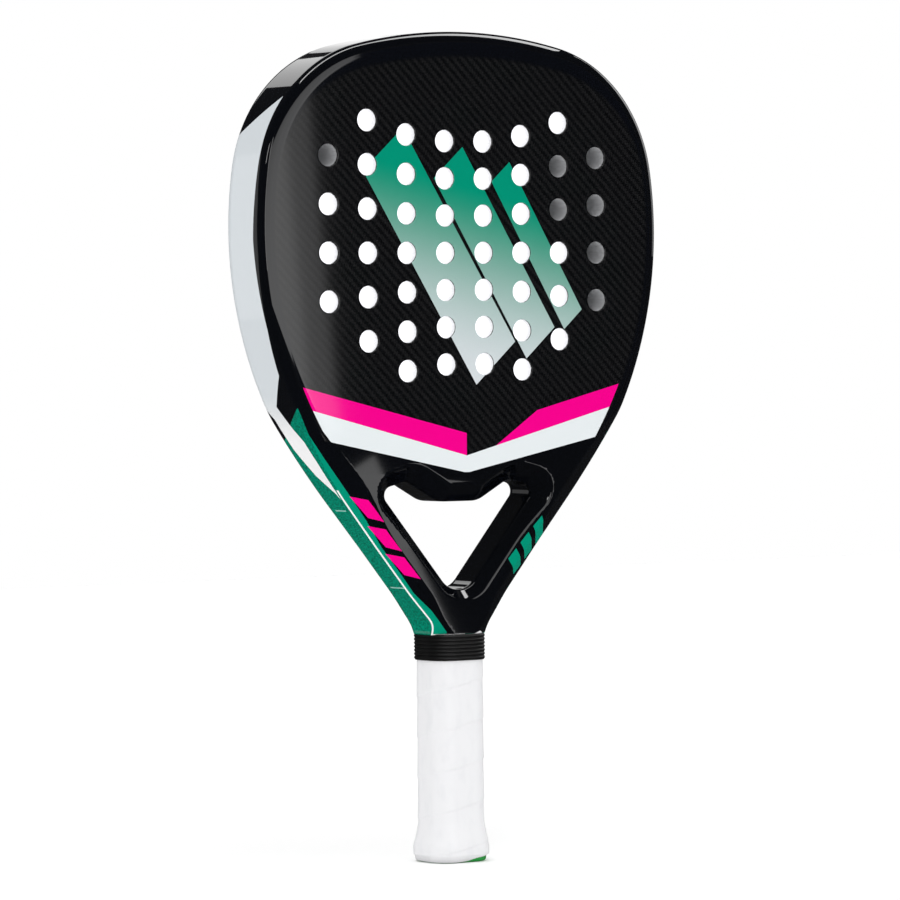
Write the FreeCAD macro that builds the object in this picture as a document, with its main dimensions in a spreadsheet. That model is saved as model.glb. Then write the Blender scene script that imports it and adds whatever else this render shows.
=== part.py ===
import FreeCAD, Part
import math
import os

os.makedirs("parts", exist_ok=True)
doc = FreeCAD.newDocument("racket")
V = FreeCAD.Vector

# Driving sizes in millimetres and degrees; X is across, Y is through (front is -Y), Z is up from the butt
SIZES = {
    "racket_len": 455.0, "head_half_w": 130.6, "head_half_t": 19.0, "edge_half_t": 16.0,
    "edge_bevel": 5.5, "crown_r": 293.4, "shoulder_r": 81.0, "cheek_r": 334.6,
    "shoulder_turn": 80.75, "side_turn": 120.84, "arm_lean": 39.29,
    "neck_half_w": 17.8, "neck_z": 130.4, "neck_fillet": 12.5,
    "arm_half_t": 15.2, "arm_side_half_t": 9.0, "arm_bevel": 8.0, "arm_bevel_climb": 0.03,
    "taper_low_z": 174.0, "taper_high_z": 214.0, "tube_w": 17.0, "tube_wall": 1.9,
    "vee_z": 214.0, "vee_slope": 0.208, "skin_t": 1.0,
    "throat_z": 141.6, "throat_bottom_r": 14.0, "throat_corner_z": 205.3, "throat_corner_r": 5.0,
    "throat_shoulder": 18.4, "throat_peak_z": 209.9, "throat_peak_r": 8.0,
    "throat_flat_x": 12.9, "throat_flat_z": 198.2, "throat_flat_r": 16.0,
    "throat_half_t": 10.0, "throat_flare": 1.08, "bridge_seat": 2.5, "bridge_hang": 16.0,
    "hole_r": 6.1, "hole_pitch_x": 25.2, "hole_row_drop": 12.8,
    "handle_half_x": 14.1, "handle_half_y": 12.7, "handle_corner": 8.0,
    "prong_cover": 3.4, "prong_gap": 2.6, "prong_top_z": 112.0,
    "base_grip_t": 1.6, "over_grip_t": 0.7, "base_grip_top_z": 124.5, "over_grip_top_z": 125.9,
    "cap_floor": 6.0, "cap_top_z": 22.0, "cap_wall": 1.0, "cap_rim_out": 3.4, "cap_rim_z": 3.0,
    "cap_foot_out": 1.6, "rim_round": 1.2, "flare_z": 8.5, "flare_out": 2.6,
    "flare_low_out": 2.2, "flare_mid_z": 14.0, "flare_mid_out": 1.2, "disc_in": 3.5, "disc_t": 1.0,
    "cord_hole_r": 3.2, "bush_r": 4.8, "bush_flange_r": 7.0, "bush_flange_t": 1.4,
    "staple_half_w": 5.0, "staple_wire": 1.0, "staple_leg": 3.2, "staple_z": 15.0,
    "tape_t": 0.2, "tape_low_z": 113.0, "tape_top_z": 123.0,
    "collar_low_z": 111.0, "collar_top_z": 125.5, "collar_t": 0.8, "collar_rib": 0.5,
    "collar_rib_h": 1.05, "collar_ribs": 7, "plug_len": 8.0, "fit": 0.05,
}
# Each pair of hole columns: pitch along the column, holes above and below the middle row
COLUMNS = [(20.3, 3, 3), (21.4, 3, 3), (23.9, 3, 2), (26.3, 2, 1)]
# Cutters run this far past what they cut
PAST = 60.0
# Height of a sharp step in a ruled form
STEP = 0.01
# Share of the throat's growth that its corners' and its hollows' radii take
CORNER_SHARE, FLAT_SHARE = 0.3, 0.8

sheet = doc.addObject("Spreadsheet::Sheet", "Sizes")
for row, (alias, number) in enumerate(SIZES.items(), start=1):
    sheet.set(f"A{row}", alias)
    sheet.set(f"B{row}", str(number))
    sheet.setAlias(f"B{row}", alias)
doc.recompute()


def value(words):
    """The number for words such as "handle_half_x + base_grip_t", read from the sheet."""
    total, sign = 0.0, 1.0
    for word in words.split():
        if word in ("+", "-"):
            sign = 1.0 if word == "+" else -1.0
        else:
            total += sign * (getattr(sheet, word) if word[0].isalpha() else float(word))
    return total


def formula(words, factor=1):
    """The same words as a FreeCAD expression, times a factor."""
    terms = [f"Sizes.{word}" if word[0].isalpha() else word for word in words.split()]
    return f"{factor} * ({' '.join(terms)})"


def bind(obj, prop, words, factor=1):
    obj.setExpression(prop, formula(words, factor))


# Outline of the head and arms, right half, from the crown down to the neck
def turned(heading, radius, start, first, last):
    """End of a clockwise arc: the direction of travel turns from first to last, in degrees."""
    a, b = math.radians(first), math.radians(last)
    return (start[0] + radius * (math.sin(b) - math.sin(a)),
            start[1] - radius * (math.cos(a) - math.cos(b)))


def solve_outline():
    """Crown turn and side radius that give the stated width and length."""
    lean = value("arm_lean")
    side_r, sweep, tries = 2 * value("shoulder_r"), math.radians(value("side_turn")), 60
    gain = math.cos(math.radians(value("shoulder_turn"))) - math.cos(sweep)
    for _ in range(tries):
        a = math.radians(value("shoulder_turn"))
        rest = value("shoulder_r") * math.sin(a) + side_r * (1 - math.sin(a))
        crown_turn = math.degrees(math.asin((value("head_half_w") - rest)
                                            / (value("crown_r") - value("shoulder_r"))))
        nodes = chain(crown_turn, side_r)
        x, z = nodes[4][:2]
        arm = (x - value("neck_half_w")) / math.tan(math.radians(lean))
        side_r += ((z - arm) - value("neck_z")) / gain
    return crown_turn, side_r


def chain(crown_turn, side_r):
    """Nodes (x, z, heading) of the four arcs, heading clockwise from +X."""
    turns = [0.0, crown_turn, value("shoulder_turn"), value("side_turn"), 90 + value("arm_lean")]
    radii = [value("crown_r"), value("shoulder_r"), side_r, value("cheek_r")]
    nodes = [(0.0, value("racket_len"), 0.0)]
    for radius, first, last in zip(radii, turns, turns[1:]):
        x, z = turned(first, radius, nodes[-1][:2], first, last)
        nodes.append((x, z, last))
    return nodes


CROWN_TURN, SIDE_R = solve_outline()
NODES = chain(CROWN_TURN, SIDE_R)
LEAN = math.radians(value("arm_lean"))
FILLET_RUN = value("neck_fillet") * math.tan(LEAN / 2)
NECK_Z = value("neck_z") - FILLET_RUN
CORNER_X = (value("throat_corner_z") - value("throat_z")) * math.tan(LEAN)
WIDEST_Z = turned(NODES[2][2], SIDE_R, NODES[2][:2], NODES[2][2], 90.0)[1]


def inward(x, z, heading, inset):
    """A point of the outline moved inward, square to the direction of travel."""
    h = math.radians(heading)
    return (x - inset * math.sin(h), z - inset * math.cos(h))


def middle(first, last, start, end, radius_sign):
    """Middle point of the arc between two tangent headings."""
    h = math.radians((first + last) / 2)
    chord = math.dist(start, end)
    rise = radius_sign * chord / 2 * math.tan(math.radians(abs(last - first)) / 4)
    mx, mz = (start[0] + end[0]) / 2, (start[1] + end[1]) / 2
    return (mx + rise * math.sin(h), mz + rise * math.cos(h))


def half_outline(inset, to_neck):
    """Edges of the right half as (start, middle or None, end), from the crown down."""
    edges = []
    places = [inward(x, z, h, inset) for x, z, h in NODES]
    for i in range(4):
        mid = middle(NODES[i][2], NODES[i + 1][2], places[i], places[i + 1], 1)
        edges.append((places[i], mid, places[i + 1]))
    lean_heading = 90 + value("arm_lean")
    if to_neck:
        top = (value("neck_half_w") + FILLET_RUN * math.sin(LEAN),
               value("neck_z") + FILLET_RUN * math.cos(LEAN))
        top = inward(top[0], top[1], lean_heading, inset)
        end = (value("neck_half_w") - inset, NECK_Z)
        edges.append((places[4], None, top))
        edges.append((top, middle(lean_heading, 90, top, end, -1), end))
    else:
        drop = places[4][1] - value("throat_flat_z - bridge_hang")
        end = (places[4][0] - drop * math.tan(LEAN), places[4][1] - drop)
        edges.append((places[4], None, end))
    return edges


def whole(edges):
    """A right half, its mirror image and the straight foot that closes them."""
    flip = lambda p: None if p is None else (-p[0], p[1])
    left = [(flip(b), flip(m), flip(a)) for a, m, b in reversed(edges)]
    foot = [(edges[-1][2], None, flip(edges[-1][2]))]
    return edges + foot + left


def polygon(points):
    return [(a, None, b) for a, b in zip(points, points[1:] + points[:1])]


def rounded(points, radii):
    """A closed polygon, counter-clockwise, with an arc of the given radius at each corner."""
    ends = []
    for i, (point, radius) in enumerate(zip(points, radii)):
        before, after = V(*points[i - 1], 0), V(*points[(i + 1) % len(points)], 0)
        p = V(*point, 0)
        u, w = (before - p).normalize(), (after - p).normalize()
        half = math.acos(u.dot(w)) / 2
        run = radius / math.tan(half)
        centre = p + (u + w).normalize() * (radius / math.sin(half))
        mid = centre + (p - centre).normalize() * radius
        a, b = p + u * run, p + w * run
        ends.append(((a.x, a.y), (mid.x, mid.y), (b.x, b.y)))
    edges = []
    for i, arc in enumerate(ends):
        edges += [arc, (arc[2], None, ends[(i + 1) % len(ends)][0])]
    return edges


def throat(grow):
    """Outline of the throat opening, grown by an even margin."""
    right = [(CORNER_X, value("throat_corner_z")),
             (CORNER_X - value("throat_shoulder"), value("throat_peak_z")),
             (value("throat_flat_x"), value("throat_flat_z"))]
    corners = [(0.0, value("throat_z"))] + right + [(-x, z) for x, z in reversed(right)]
    grown = []
    for i, point in enumerate(corners):
        before, after = corners[i - 1], corners[(i + 1) % len(corners)]
        n1 = V(point[1] - before[1], before[0] - point[0], 0).normalize()
        n2 = V(after[1] - point[1], point[0] - after[0], 0).normalize()
        move = (n1 + n2) * (grow / (1 + n1.dot(n2)))
        grown.append((point[0] + move.x, point[1] + move.y))
    side = [value("throat_corner_r") + CORNER_SHARE * grow, value("throat_peak_r") + grow,
            value("throat_flat_r") - FLAT_SHARE * grow]
    return rounded(grown, [value("throat_bottom_r")] + side + side[::-1])


# Building blocks
def draw(sketch, edges):
    for start, mid, end in edges:
        a, b = V(*start, 0), V(*end, 0)
        sketch.addGeometry(Part.LineSegment(a, b) if mid is None else Part.Arc(a, V(*mid, 0), b))


def free_sketch(name, edges, place):
    sketch = doc.addObject("Sketcher::SketchObject", name)
    sketch.Placement = place
    draw(sketch, edges)
    return sketch


def at_y(y):
    """Sketch plane facing the front, X across and Z up, at height y through the racket."""
    return FreeCAD.Placement(V(0, y, 0), FreeCAD.Rotation(V(1, 0, 0), 90))


def extrude(name, edges, place, words, factor=2):
    """A prism, even about its sketch plane."""
    solid = doc.addObject("Part::Extrusion", name)
    solid.Base = free_sketch(name + "_sketch", edges, place)
    solid.DirMode = "Normal"
    solid.Symmetric = True
    solid.Solid = True
    bind(solid, "LengthFwd", words, factor)
    return solid


def loft(name, stations):
    """A ruled solid through sketches, given as (edges, place)."""
    solid = doc.addObject("Part::Loft", name)
    solid.Sections = [free_sketch(f"{name}_{i}", edges, place)
                      for i, (edges, place) in enumerate(stations)]
    solid.Solid = True
    solid.Ruled = True
    return solid


def fuse(name, pieces):
    solid = doc.addObject("Part::MultiFuse", name)
    solid.Shapes = pieces
    return solid


def common(name, pieces):
    solid = doc.addObject("Part::MultiCommon", name)
    solid.Shapes = pieces
    return solid


def cut(name, base, tools):
    for i, tool in enumerate(tools):
        solid = doc.addObject("Part::Cut", name if tool is tools[-1] else f"{name}_{i}")
        solid.Base = base
        solid.Tool = tool
        base = solid
    return base


def block(name, sizes, corner):
    """A box from words for its three sizes and for its lowest corner."""
    solid = doc.addObject("Part::Box", name)
    for prop, words in zip(("Length", "Width", "Height"), sizes):
        bind(solid, prop, *words)
    for axis, words in zip("xyz", corner):
        bind(solid, f"Placement.Base.{axis}", *words)
    return solid


# The moulded outer form, and the same form one wall in
def bevel_cutter(name, side, face, inset):
    """Wedge outside an arm's slanting outer bevel; side and face are 1 or -1."""
    fall = (value("arm_half_t") - value("arm_side_half_t")) / value("arm_bevel")
    out = value("arm_bevel")
    deep = value("head_half_t") + PAST
    run = (deep - value("arm_side_half_t")) / fall
    tri = [(out - inset, face * (value("arm_side_half_t") - fall * out)),
           (-run - inset, face * deep), (out - inset, face * deep)]
    along = V(side * math.sin(LEAN), face * value("arm_bevel_climb"), math.cos(LEAN)).normalize()
    outward = V(side * math.cos(LEAN), 0, -math.sin(LEAN))
    place = FreeCAD.Placement()
    if side > 0:
        place.Rotation = FreeCAD.Rotation(outward, along.cross(outward), along, "XYZ")
    else:
        place.Rotation = FreeCAD.Rotation(outward, outward.cross(along), along * -1, "XYZ")
    low = value("taper_low_z")
    place.Base = V(side * (value("neck_half_w") + (low - value("neck_z")) * math.tan(LEAN)), 0, low)
    if (place.Rotation.multVec(V(0, 1, 0))).y < 0:
        tri = [(x, -y) for x, y in tri]
    return extrude(name, polygon(tri), place, "racket_len", 1)


def profile(name, head, arm, foot):
    """Side view of the thickness, from foot up: full at the head, thinner below the vee."""
    low, high = value("taper_low_z"), value("taper_high_z")
    top = value("racket_len") + PAST
    right = [(arm, foot), (arm, low), (head, high), (head, top)]
    turn = FreeCAD.Placement(V(0, 0, 0), FreeCAD.Rotation(V(1, 1, 1), 120))
    return extrude(name, polygon(right + [(-y, z) for y, z in reversed(right)]), turn,
                   "racket_len")


def envelope(name, inset, head, arm):
    """Outer form of head and arms, or the form a wall's thickness inside it."""
    edge, face = value("edge_half_t"), value("head_half_t")
    rim, crease = whole(half_outline(inset, True)), whole(half_outline(value("edge_bevel"), True))
    if inset == 0:
        middle_slab = extrude(name + "_slab", rim, at_y(0), "edge_half_t")
        caps = [loft(f"{name}_cap_{side}", [(rim, at_y(side * edge)), (crease, at_y(side * face))])
                for side in (-1, 1)]
        body = fuse(name + "_body", [middle_slab] + caps)
    else:
        body = extrude(name + "_body", rim, at_y(0), "edge_half_t")
    foot = NECK_Z + inset if inset else 0
    shaped = common(name + "_shaped", [body, profile(name + "_profile", head, arm, foot)])
    cutters = [bevel_cutter(f"{name}_bevel_{i}", side, face_side, inset)
               for i, (side, face_side) in enumerate([(1, -1), (1, 1), (-1, -1), (-1, 1)])]
    reach = value("throat_half_t")
    past = face + value("skin_t")
    cutters.append(extrude(name + "_throat", throat(inset), at_y(0), "head_half_t + skin_t"))
    cutters += [loft(f"{name}_flare_{side}",
                     [(throat(inset), at_y(side * reach)),
                      (throat(inset + value("throat_flare") * (past - reach)), at_y(side * past))])
                for side in (-1, 1)]
    return cut(name, shaped, cutters)


outer = envelope("outer_form", 0, value("head_half_t"), value("arm_half_t"))
WALL = value("tube_wall")
inner = envelope("inner_form", WALL, value("head_half_t - skin_t - tube_wall"),
                 value("arm_half_t - tube_wall"))


# Regions of the face: above the vee lies the faced head, below it the bridge
def vee(shift, above):
    """Everything above or below the vee, moved up by shift."""
    far = value("racket_len")
    tip, side = value("vee_z") + shift, value("vee_z") + shift + far * value("vee_slope")
    end = 3 * far if above else -far
    points = [(-far, side), (0, tip), (far, side), (far, end), (-far, end)]
    return polygon(points if above else points[::-1])


def head_region(name, inset, words):
    return extrude(name, whole(half_outline(inset, False)), at_y(0), words)


def joint_block(name, lift):
    """Everything above the seats of the bridge, with the dip where it hangs into the throat."""
    low = value("throat_corner_z - bridge_seat") + lift
    dip = value("throat_flat_z - bridge_seat - bridge_seat") + lift
    far, peak = value("racket_len"), CORNER_X - value("throat_shoulder") - lift
    points = [(-far, low), (-peak, low), (-peak, dip), (peak, dip), (peak, low), (far, low)]
    return extrude(name, polygon(points + [(far, 2 * far), (-far, 2 * far)]), at_y(0),
                   "head_half_t + skin_t")


inside = common("head_inside", [head_region("head_prism", value("tube_w"), "head_half_t + skin_t"),
                                joint_block("joint_above", 0.0)])
rebate_blank = common("rebate_blank",
                      [head_region("rebate_prism", value("edge_bevel"), "head_half_t + skin_t"),
                       extrude("rebate_vee", vee(0, True), at_y(0), "head_half_t + skin_t")])
rebates = cut("rebates", rebate_blank,
              [block("rebate_keep", [("racket_len", 2), ("head_half_t - skin_t", 2), ("racket_len", 2)],
                     [("racket_len", -1), ("skin_t - head_half_t",), ("0",)])])

# Hollow of the tube: left and right of a web at the throat, clear of the head's inside
wall_keep = common("wall_keep", [head_region("wall_prism", value("tube_w") - WALL, "head_half_t + skin_t"),
                                 joint_block("joint_wall", -WALL)])
web = block("web", [("tube_wall", 2), ("head_half_t", 2), ("throat_z + throat_bottom_r",)],
            [("tube_wall", -1), ("head_half_t", -1), ("0",)])
hollow = cut("tube_hollow", inner, [wall_keep, web])

# Neck and prongs, which run down inside the handle
def round_rect(hx, hy, r):
    return rounded([(-hx, -hy), (hx, -hy), (hx, hy), (-hx, hy)], [r] * 4)


def level(z):
    return FreeCAD.Placement(V(0, 0, z), FreeCAD.Rotation())


def handle_section(margin):
    """The handle's rounded section, larger all round by a margin."""
    return round_rect(value("handle_half_x") + margin, value("handle_half_y") + margin,
                      value("handle_corner") + margin)


def handle_form(name, stations):
    """A ruled solid through handle sections, each (words for its height, margin, rise above it)."""
    solid = doc.addObject("Part::Loft", name)
    sections = []
    for i, (z_words, margin, *rise) in enumerate(stations):
        words = f"{z_words} + {rise[0]}" if rise else z_words
        sketch = free_sketch(f"{name}_{i}", handle_section(margin), level(value(words)))
        bind(sketch, "Placement.Base.z", words)
        sections.append(sketch)
    solid.Sections = sections
    solid.Solid = True
    solid.Ruled = True
    return solid


PRONG_X, PRONG_Y = "handle_half_x - prong_cover", "handle_half_y - prong_cover"
MINUS_X, MINUS_Y = "prong_cover - handle_half_x", "prong_cover - handle_half_y"
neck = handle_form("neck_form", [("prong_top_z", -value("fit")), ("neck_z", -value("fit"))])
prong_block = block("prong_block", [(PRONG_X, 2), (PRONG_Y, 2),
                                    ("prong_top_z - cap_floor + fit",)],
                    [(MINUS_X,), (MINUS_Y,), ("cap_floor",)])
prong_slot = block("prong_slot", [("prong_gap", 2), ("handle_half_y", 2),
                                  ("prong_top_z - cap_floor",)],
                   [("prong_gap", -1), ("handle_half_y", -1), ("cap_floor",)])
prongs = cut("prongs", prong_block, [prong_slot])
bores = [block(f"prong_bore_{tag}",
               [(PRONG_X + " - prong_gap - tube_wall - tube_wall",),
                (PRONG_Y + " - tube_wall", 2), ("neck_z - cap_floor",)],
               [(x_words,), (MINUS_Y + " + tube_wall",), ("cap_floor",)])
         for tag, x_words in (("right", "prong_gap + tube_wall"), ("left", MINUS_X + " + tube_wall"))]
frame_solid = fuse("frame_solid", [outer, neck, prongs])
frame_tube = cut("frame_tube", frame_solid, [inside, rebates, hollow] + bores)

# Bridge across the throat, hollow and foam-filled
bridge_blank = common("bridge_blank", [outer, inside, extrude("bridge_vee", vee(0, False), at_y(0),
                                                              "head_half_t + skin_t")])
foam_region = common("foam_region", [head_region("foam_prism", value("tube_w") + WALL,
                                                 "head_half_t + skin_t"),
                                     joint_block("joint_foam", WALL)])
bridge_foam = common("bridge_foam", [inner, foam_region,
                                     extrude("foam_vee", vee(-WALL, False), at_y(0),
                                             "head_half_t + skin_t")])
throat_bridge = cut("throat_bridge", bridge_blank, [bridge_foam])


# Core and faces, with the holes in columns
def new_body(name):
    return doc.addObject("PartDesign::Body", name)


def body_sketch(body, name, role, offset_words, factor=1):
    sketch = body.newObject("Sketcher::SketchObject", name)
    plane = [f for f in body.Origin.OriginFeatures if f.Role == role][0]
    sketch.AttachmentSupport = [(plane, "")]
    sketch.MapMode = "FlatFace"
    if offset_words:
        bind(sketch, "AttachmentOffset.Base.z", offset_words, factor)
    return sketch


def pad(body, name, sketch, words, factor=1, even=False):
    feature = body.newObject("PartDesign::Pad", name)
    feature.Profile = sketch
    if even:
        feature.SideType = "Symmetric"
    bind(feature, "Length", words, factor)
    return feature


def pocket(body, name, sketch):
    feature = body.newObject("PartDesign::Pocket", name)
    feature.Profile = sketch
    feature.SideType = "Symmetric"
    feature.Type = "Length"
    bind(feature, "Length", "head_half_t", 6)
    return feature


def face_piece(name, inset, level_words, level_factor, words, factor, even):
    """A plate of the head's shape above the vee, with every hole through it."""
    body = new_body(name)
    blank = body_sketch(body, name + "_plan", "XZ_Plane", level_words, level_factor)
    draw(blank, whole(half_outline(inset, False)))
    pad(body, name + "_plate", blank, words, factor, even)
    below = body_sketch(body, name + "_vee", "XZ_Plane", None)
    draw(below, vee(0, False))
    pocket(body, name + "_vee_cut", below)
    holes = body_sketch(body, name + "_holes", "XZ_Plane", None)
    for column, (pitch, above, under) in enumerate(COLUMNS):
        x = (column + 0.5) * value("hole_pitch_x")
        for place in range(-under, above + 1):
            z = WIDEST_Z - value("hole_row_drop") + place * pitch
            for side in (-1, 1):
                holes.addGeometry(Part.Circle(V(side * x, z, 0), V(0, 0, 1), value("hole_r")))
    pocket(body, name + "_hole_cut", holes)
    return body


eva_core = face_piece("eva_core", value("tube_w"), None, 1, "head_half_t - skin_t", 2, True)
skin_front = face_piece("face_skin_front", value("edge_bevel"), "head_half_t - skin_t", 1,
                        "skin_t", 1, False)
skin_rear = face_piece("face_skin_rear", value("edge_bevel"), "head_half_t", -1,
                       "skin_t", 1, False)

# Handle: foam between the prongs, two moulded halves round them
core_body = new_body("handle_core")
core_plan = body_sketch(core_body, "core_plan", "XY_Plane", "cap_floor")
draw(core_plan, polygon([(-value("prong_gap"), value(MINUS_Y)), (value("prong_gap"), value(MINUS_Y)),
                         (value("prong_gap"), value(PRONG_Y)),
                         (-value("prong_gap"), value(PRONG_Y))]))
pad(core_body, "core_pad", core_plan, "prong_top_z - cap_floor")

# Staples through the cap's wall into the halves, one at the front and one at the rear
staples = []
for tag, side in (("front", -1), ("rear", 1)):
    crown_y = ("handle_half_y",) if side > 0 else ("0 - handle_half_y - staple_wire",)
    leg_y = ("handle_half_y - staple_leg",) if side > 0 else ("0 - handle_half_y",)
    crown = block(f"staple_crown_{tag}", [("staple_half_w", 2), ("staple_wire",), ("staple_wire",)],
                  [("staple_half_w", -1), crown_y, ("staple_z",)])
    legs = [block(f"staple_leg_{tag}_{i}", [("staple_wire",), ("staple_leg",), ("staple_wire",)],
                  [(x_words,), leg_y, ("staple_z",)])
            for i, x_words in enumerate(("0 - staple_half_w", "staple_half_w - staple_wire"))]
    staples.append(fuse(f"staple_{tag}", [crown] + legs))

handle_outer = handle_form("handle_outer", [("cap_top_z", 0), ("prong_top_z", 0)])
handle_foot = handle_form("handle_foot", [("cap_floor", -value("cap_wall") - value("fit")),
                                          ("cap_top_z", -value("cap_wall") - value("fit"))])
handle_blank = fuse("handle_blank", [handle_outer, handle_foot])
for tag, side in (("front", -1), ("rear", 1)):
    y_words = ("fit",) if side > 0 else ("0 - head_half_t - fit",)
    half_space = block(f"half_space_{tag}", [("head_half_t", 2), ("head_half_t",), ("prong_top_z",)],
                       [("head_half_t", -1), y_words, ("0",)])
    half = common(f"handle_half_blank_{tag}", [handle_blank, half_space])
    pocket_block = block(f"prong_pocket_{tag}",
                         [(PRONG_X + " + fit", 2), (PRONG_Y + " + fit", 2), ("prong_top_z",)],
                         [(MINUS_X + " - fit",), (MINUS_Y + " - fit",), ("0",)])
    cut(f"handle_half_{tag}", half, [pocket_block, staples[0 if side < 0 else 1]])

# Foam plugs that close the prongs' lower ends
plugs = [block(f"plug_{tag}",
               [(PRONG_X + " - prong_gap - tube_wall - tube_wall",),
                (PRONG_Y + " - tube_wall", 2), ("plug_len",)],
               [(x_words,), (MINUS_Y + " + tube_wall",), ("cap_floor",)])
         for tag, x_words in (("right", "prong_gap + tube_wall"), ("left", MINUS_X + " + tube_wall"))]
tube_end_plugs = doc.addObject("Part::Compound", "tube_end_plugs")
tube_end_plugs.Links = plugs

# Butt cap with its end plate, cord bush and staples
cap_outer = handle_form("cap_outer", [("0", value("cap_foot_out")), ("rim_round", value("cap_rim_out")),
                                      ("cap_rim_z", value("cap_rim_out")),
                                      ("cap_rim_z", value("flare_low_out"), STEP),
                                      ("flare_z", value("flare_out")),
                                      ("flare_mid_z", value("flare_mid_out")), ("cap_top_z", 0)])
cap_inner = handle_form("cap_inner", [("cap_floor", -value("cap_wall")),
                                      ("cap_top_z + fit", -value("cap_wall"))])
disc_body = new_body("butt_plate")
disc_plan = body_sketch(disc_body, "disc_plan", "XY_Plane", None)
draw(disc_plan, handle_section(-value("disc_in")))
pad(disc_body, "disc_pad", disc_plan, "disc_t")
disc_hole = body_sketch(disc_body, "disc_hole", "XY_Plane", None)
disc_hole.addGeometry(Part.Circle(V(0, 0, 0), V(0, 0, 1), value("bush_r")))
pocket(disc_body, "disc_hole_cut", disc_hole)
plate_room = doc.addObject("Part::Extrusion", "plate_room")
plate_room.Base = free_sketch("plate_room_sketch", handle_section(value("fit - disc_in")), level(0))
plate_room.DirMode = "Normal"
plate_room.Solid = True
bind(plate_room, "LengthFwd", "disc_t")

bush_body = new_body("cord_bush")
bush_plan = body_sketch(bush_body, "bush_plan", "XZ_Plane", None)
draw(bush_plan, polygon([(value("cord_hole_r"), 0), (value("bush_r"), 0),
                         (value("bush_r"), value("cap_floor - bush_flange_t")),
                         (value("bush_flange_r"), value("cap_floor - bush_flange_t")),
                         (value("bush_flange_r"), value("cap_floor")),
                         (value("cord_hole_r"), value("cap_floor"))]))
bush_turn = bush_body.newObject("PartDesign::Revolution", "bush_turn")
bush_turn.Profile = bush_plan
bush_turn.ReferenceAxis = (bush_plan, ["V_Axis"])
bush_turn.Angle = 360

bush_rooms = []
for name, radius_words, low_words, height_words in (
        ("bush_room", "bush_r", "0", "cap_floor"),
        ("flange_room", "bush_flange_r", "cap_floor - bush_flange_t", "bush_flange_t")):
    room = doc.addObject("Part::Cylinder", name)
    bind(room, "Radius", radius_words)
    bind(room, "Height", height_words)
    bind(room, "Placement.Base.z", low_words)
    bush_rooms.append(room)
cut("butt_cap", cap_outer, [cap_inner, plate_room] + bush_rooms + staples)
cap_staples = doc.addObject("Part::Compound", "cap_staples")
cap_staples.Links = staples


# Layers wound on the handle, each a sleeve that follows the flare at the butt
def flared(name, margin, top_words):
    return handle_form(name, [("cap_rim_z", margin + value("flare_low_out")),
                              ("flare_z", margin + value("flare_out")),
                              ("flare_mid_z", margin + value("flare_mid_out")),
                              ("cap_top_z", margin), (top_words, margin)])


BASE, OVER = value("base_grip_t"), value("over_grip_t")
grip_zero = flared("grip_zero", 0, "over_grip_top_z + fit")
grip_one = flared("grip_one", BASE, "base_grip_top_z")
grip_one_tall = flared("grip_one_tall", BASE, "over_grip_top_z + fit")
grip_two = flared("grip_two", BASE + OVER, "over_grip_top_z")
cut("base_grip", grip_one, [grip_zero])
cut("over_grip", grip_two, [grip_one_tall])


def sleeve(name, margin, thick, low_words, height_words):
    """A body that is a straight ring round the handle; returns the body and its first pad."""
    body = new_body(name)
    plan = body_sketch(body, name + "_plan", "XY_Plane", low_words)
    for out in (margin + thick, margin):
        draw(plan, handle_section(out))
    return body, pad(body, name + "_pad", plan, height_words)


GRIPPED = BASE + OVER
sleeve("finishing_tape", GRIPPED, value("tape_t"), "tape_low_z", "tape_top_z - tape_low_z")
collar_in = GRIPPED + value("tape_t") + value("fit")
collar, _ = sleeve("grip_collar", collar_in, value("collar_t"), "collar_low_z",
                   "collar_top_z - collar_low_z")
rib_plan = body_sketch(collar, "rib_plan", "XY_Plane", "collar_low_z")
for out in (collar_in + value("collar_t") + value("collar_rib"), collar_in + value("collar_t") / 2):
    draw(rib_plan, handle_section(out))
rib = pad(collar, "rib_pad", rib_plan, "collar_rib_h")
doc.recompute()
ribs = collar.newObject("PartDesign::LinearPattern", "ribs")
ribs.Originals = [rib]
ribs.Direction = (rib_plan, ["N_Axis"])
ribs.setExpression("Length", "Sizes.collar_top_z - Sizes.collar_low_z - Sizes.collar_rib_h")
ribs.setExpression("Occurrences", "Sizes.collar_ribs")
collar.Tip = ribs

# Each sub-part's label names its file
PARTS = ["frame_tube", "throat_bridge", "bridge_foam", "eva_core", "face_skin_front",
         "face_skin_rear", "handle_core", "handle_half_front", "handle_half_rear",
         "tube_end_plugs", "butt_cap", "butt_plate", "cord_bush", "cap_staples",
         "base_grip", "over_grip", "finishing_tape", "grip_collar"]

doc.recompute()
broken = [o.Name for o in doc.Objects if "Invalid" in o.State or "Error" in o.State]
if broken:
    raise SystemExit(f"failed objects: {broken}")
for name in PARTS:
    piece = doc.getObject(name)
    if piece.Shape.isNull() or not piece.Shape.isValid() or piece.Shape.Volume <= 0:
        raise SystemExit(f"bad shape: {name}")
for name in PARTS:
    piece = doc.getObject(name)
    piece.Label = name
    piece.Shape.exportStep(f"parts/{name}.step")
    box = piece.Shape.BoundBox
    print(f"{name}: {len(piece.Shape.Solids)} solids, {piece.Shape.Volume:.0f} mm3, "
          f"x {box.XMin:.1f} {box.XMax:.1f} y {box.YMin:.1f} {box.YMax:.1f} "
          f"z {box.ZMin:.1f} {box.ZMax:.1f}")
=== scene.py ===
import functools
import math
import operator

import bmesh
import bpy
import numpy as np
from mathutils import Matrix, Vector
from mathutils.geometry import delaunay_2d_cdt

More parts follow.
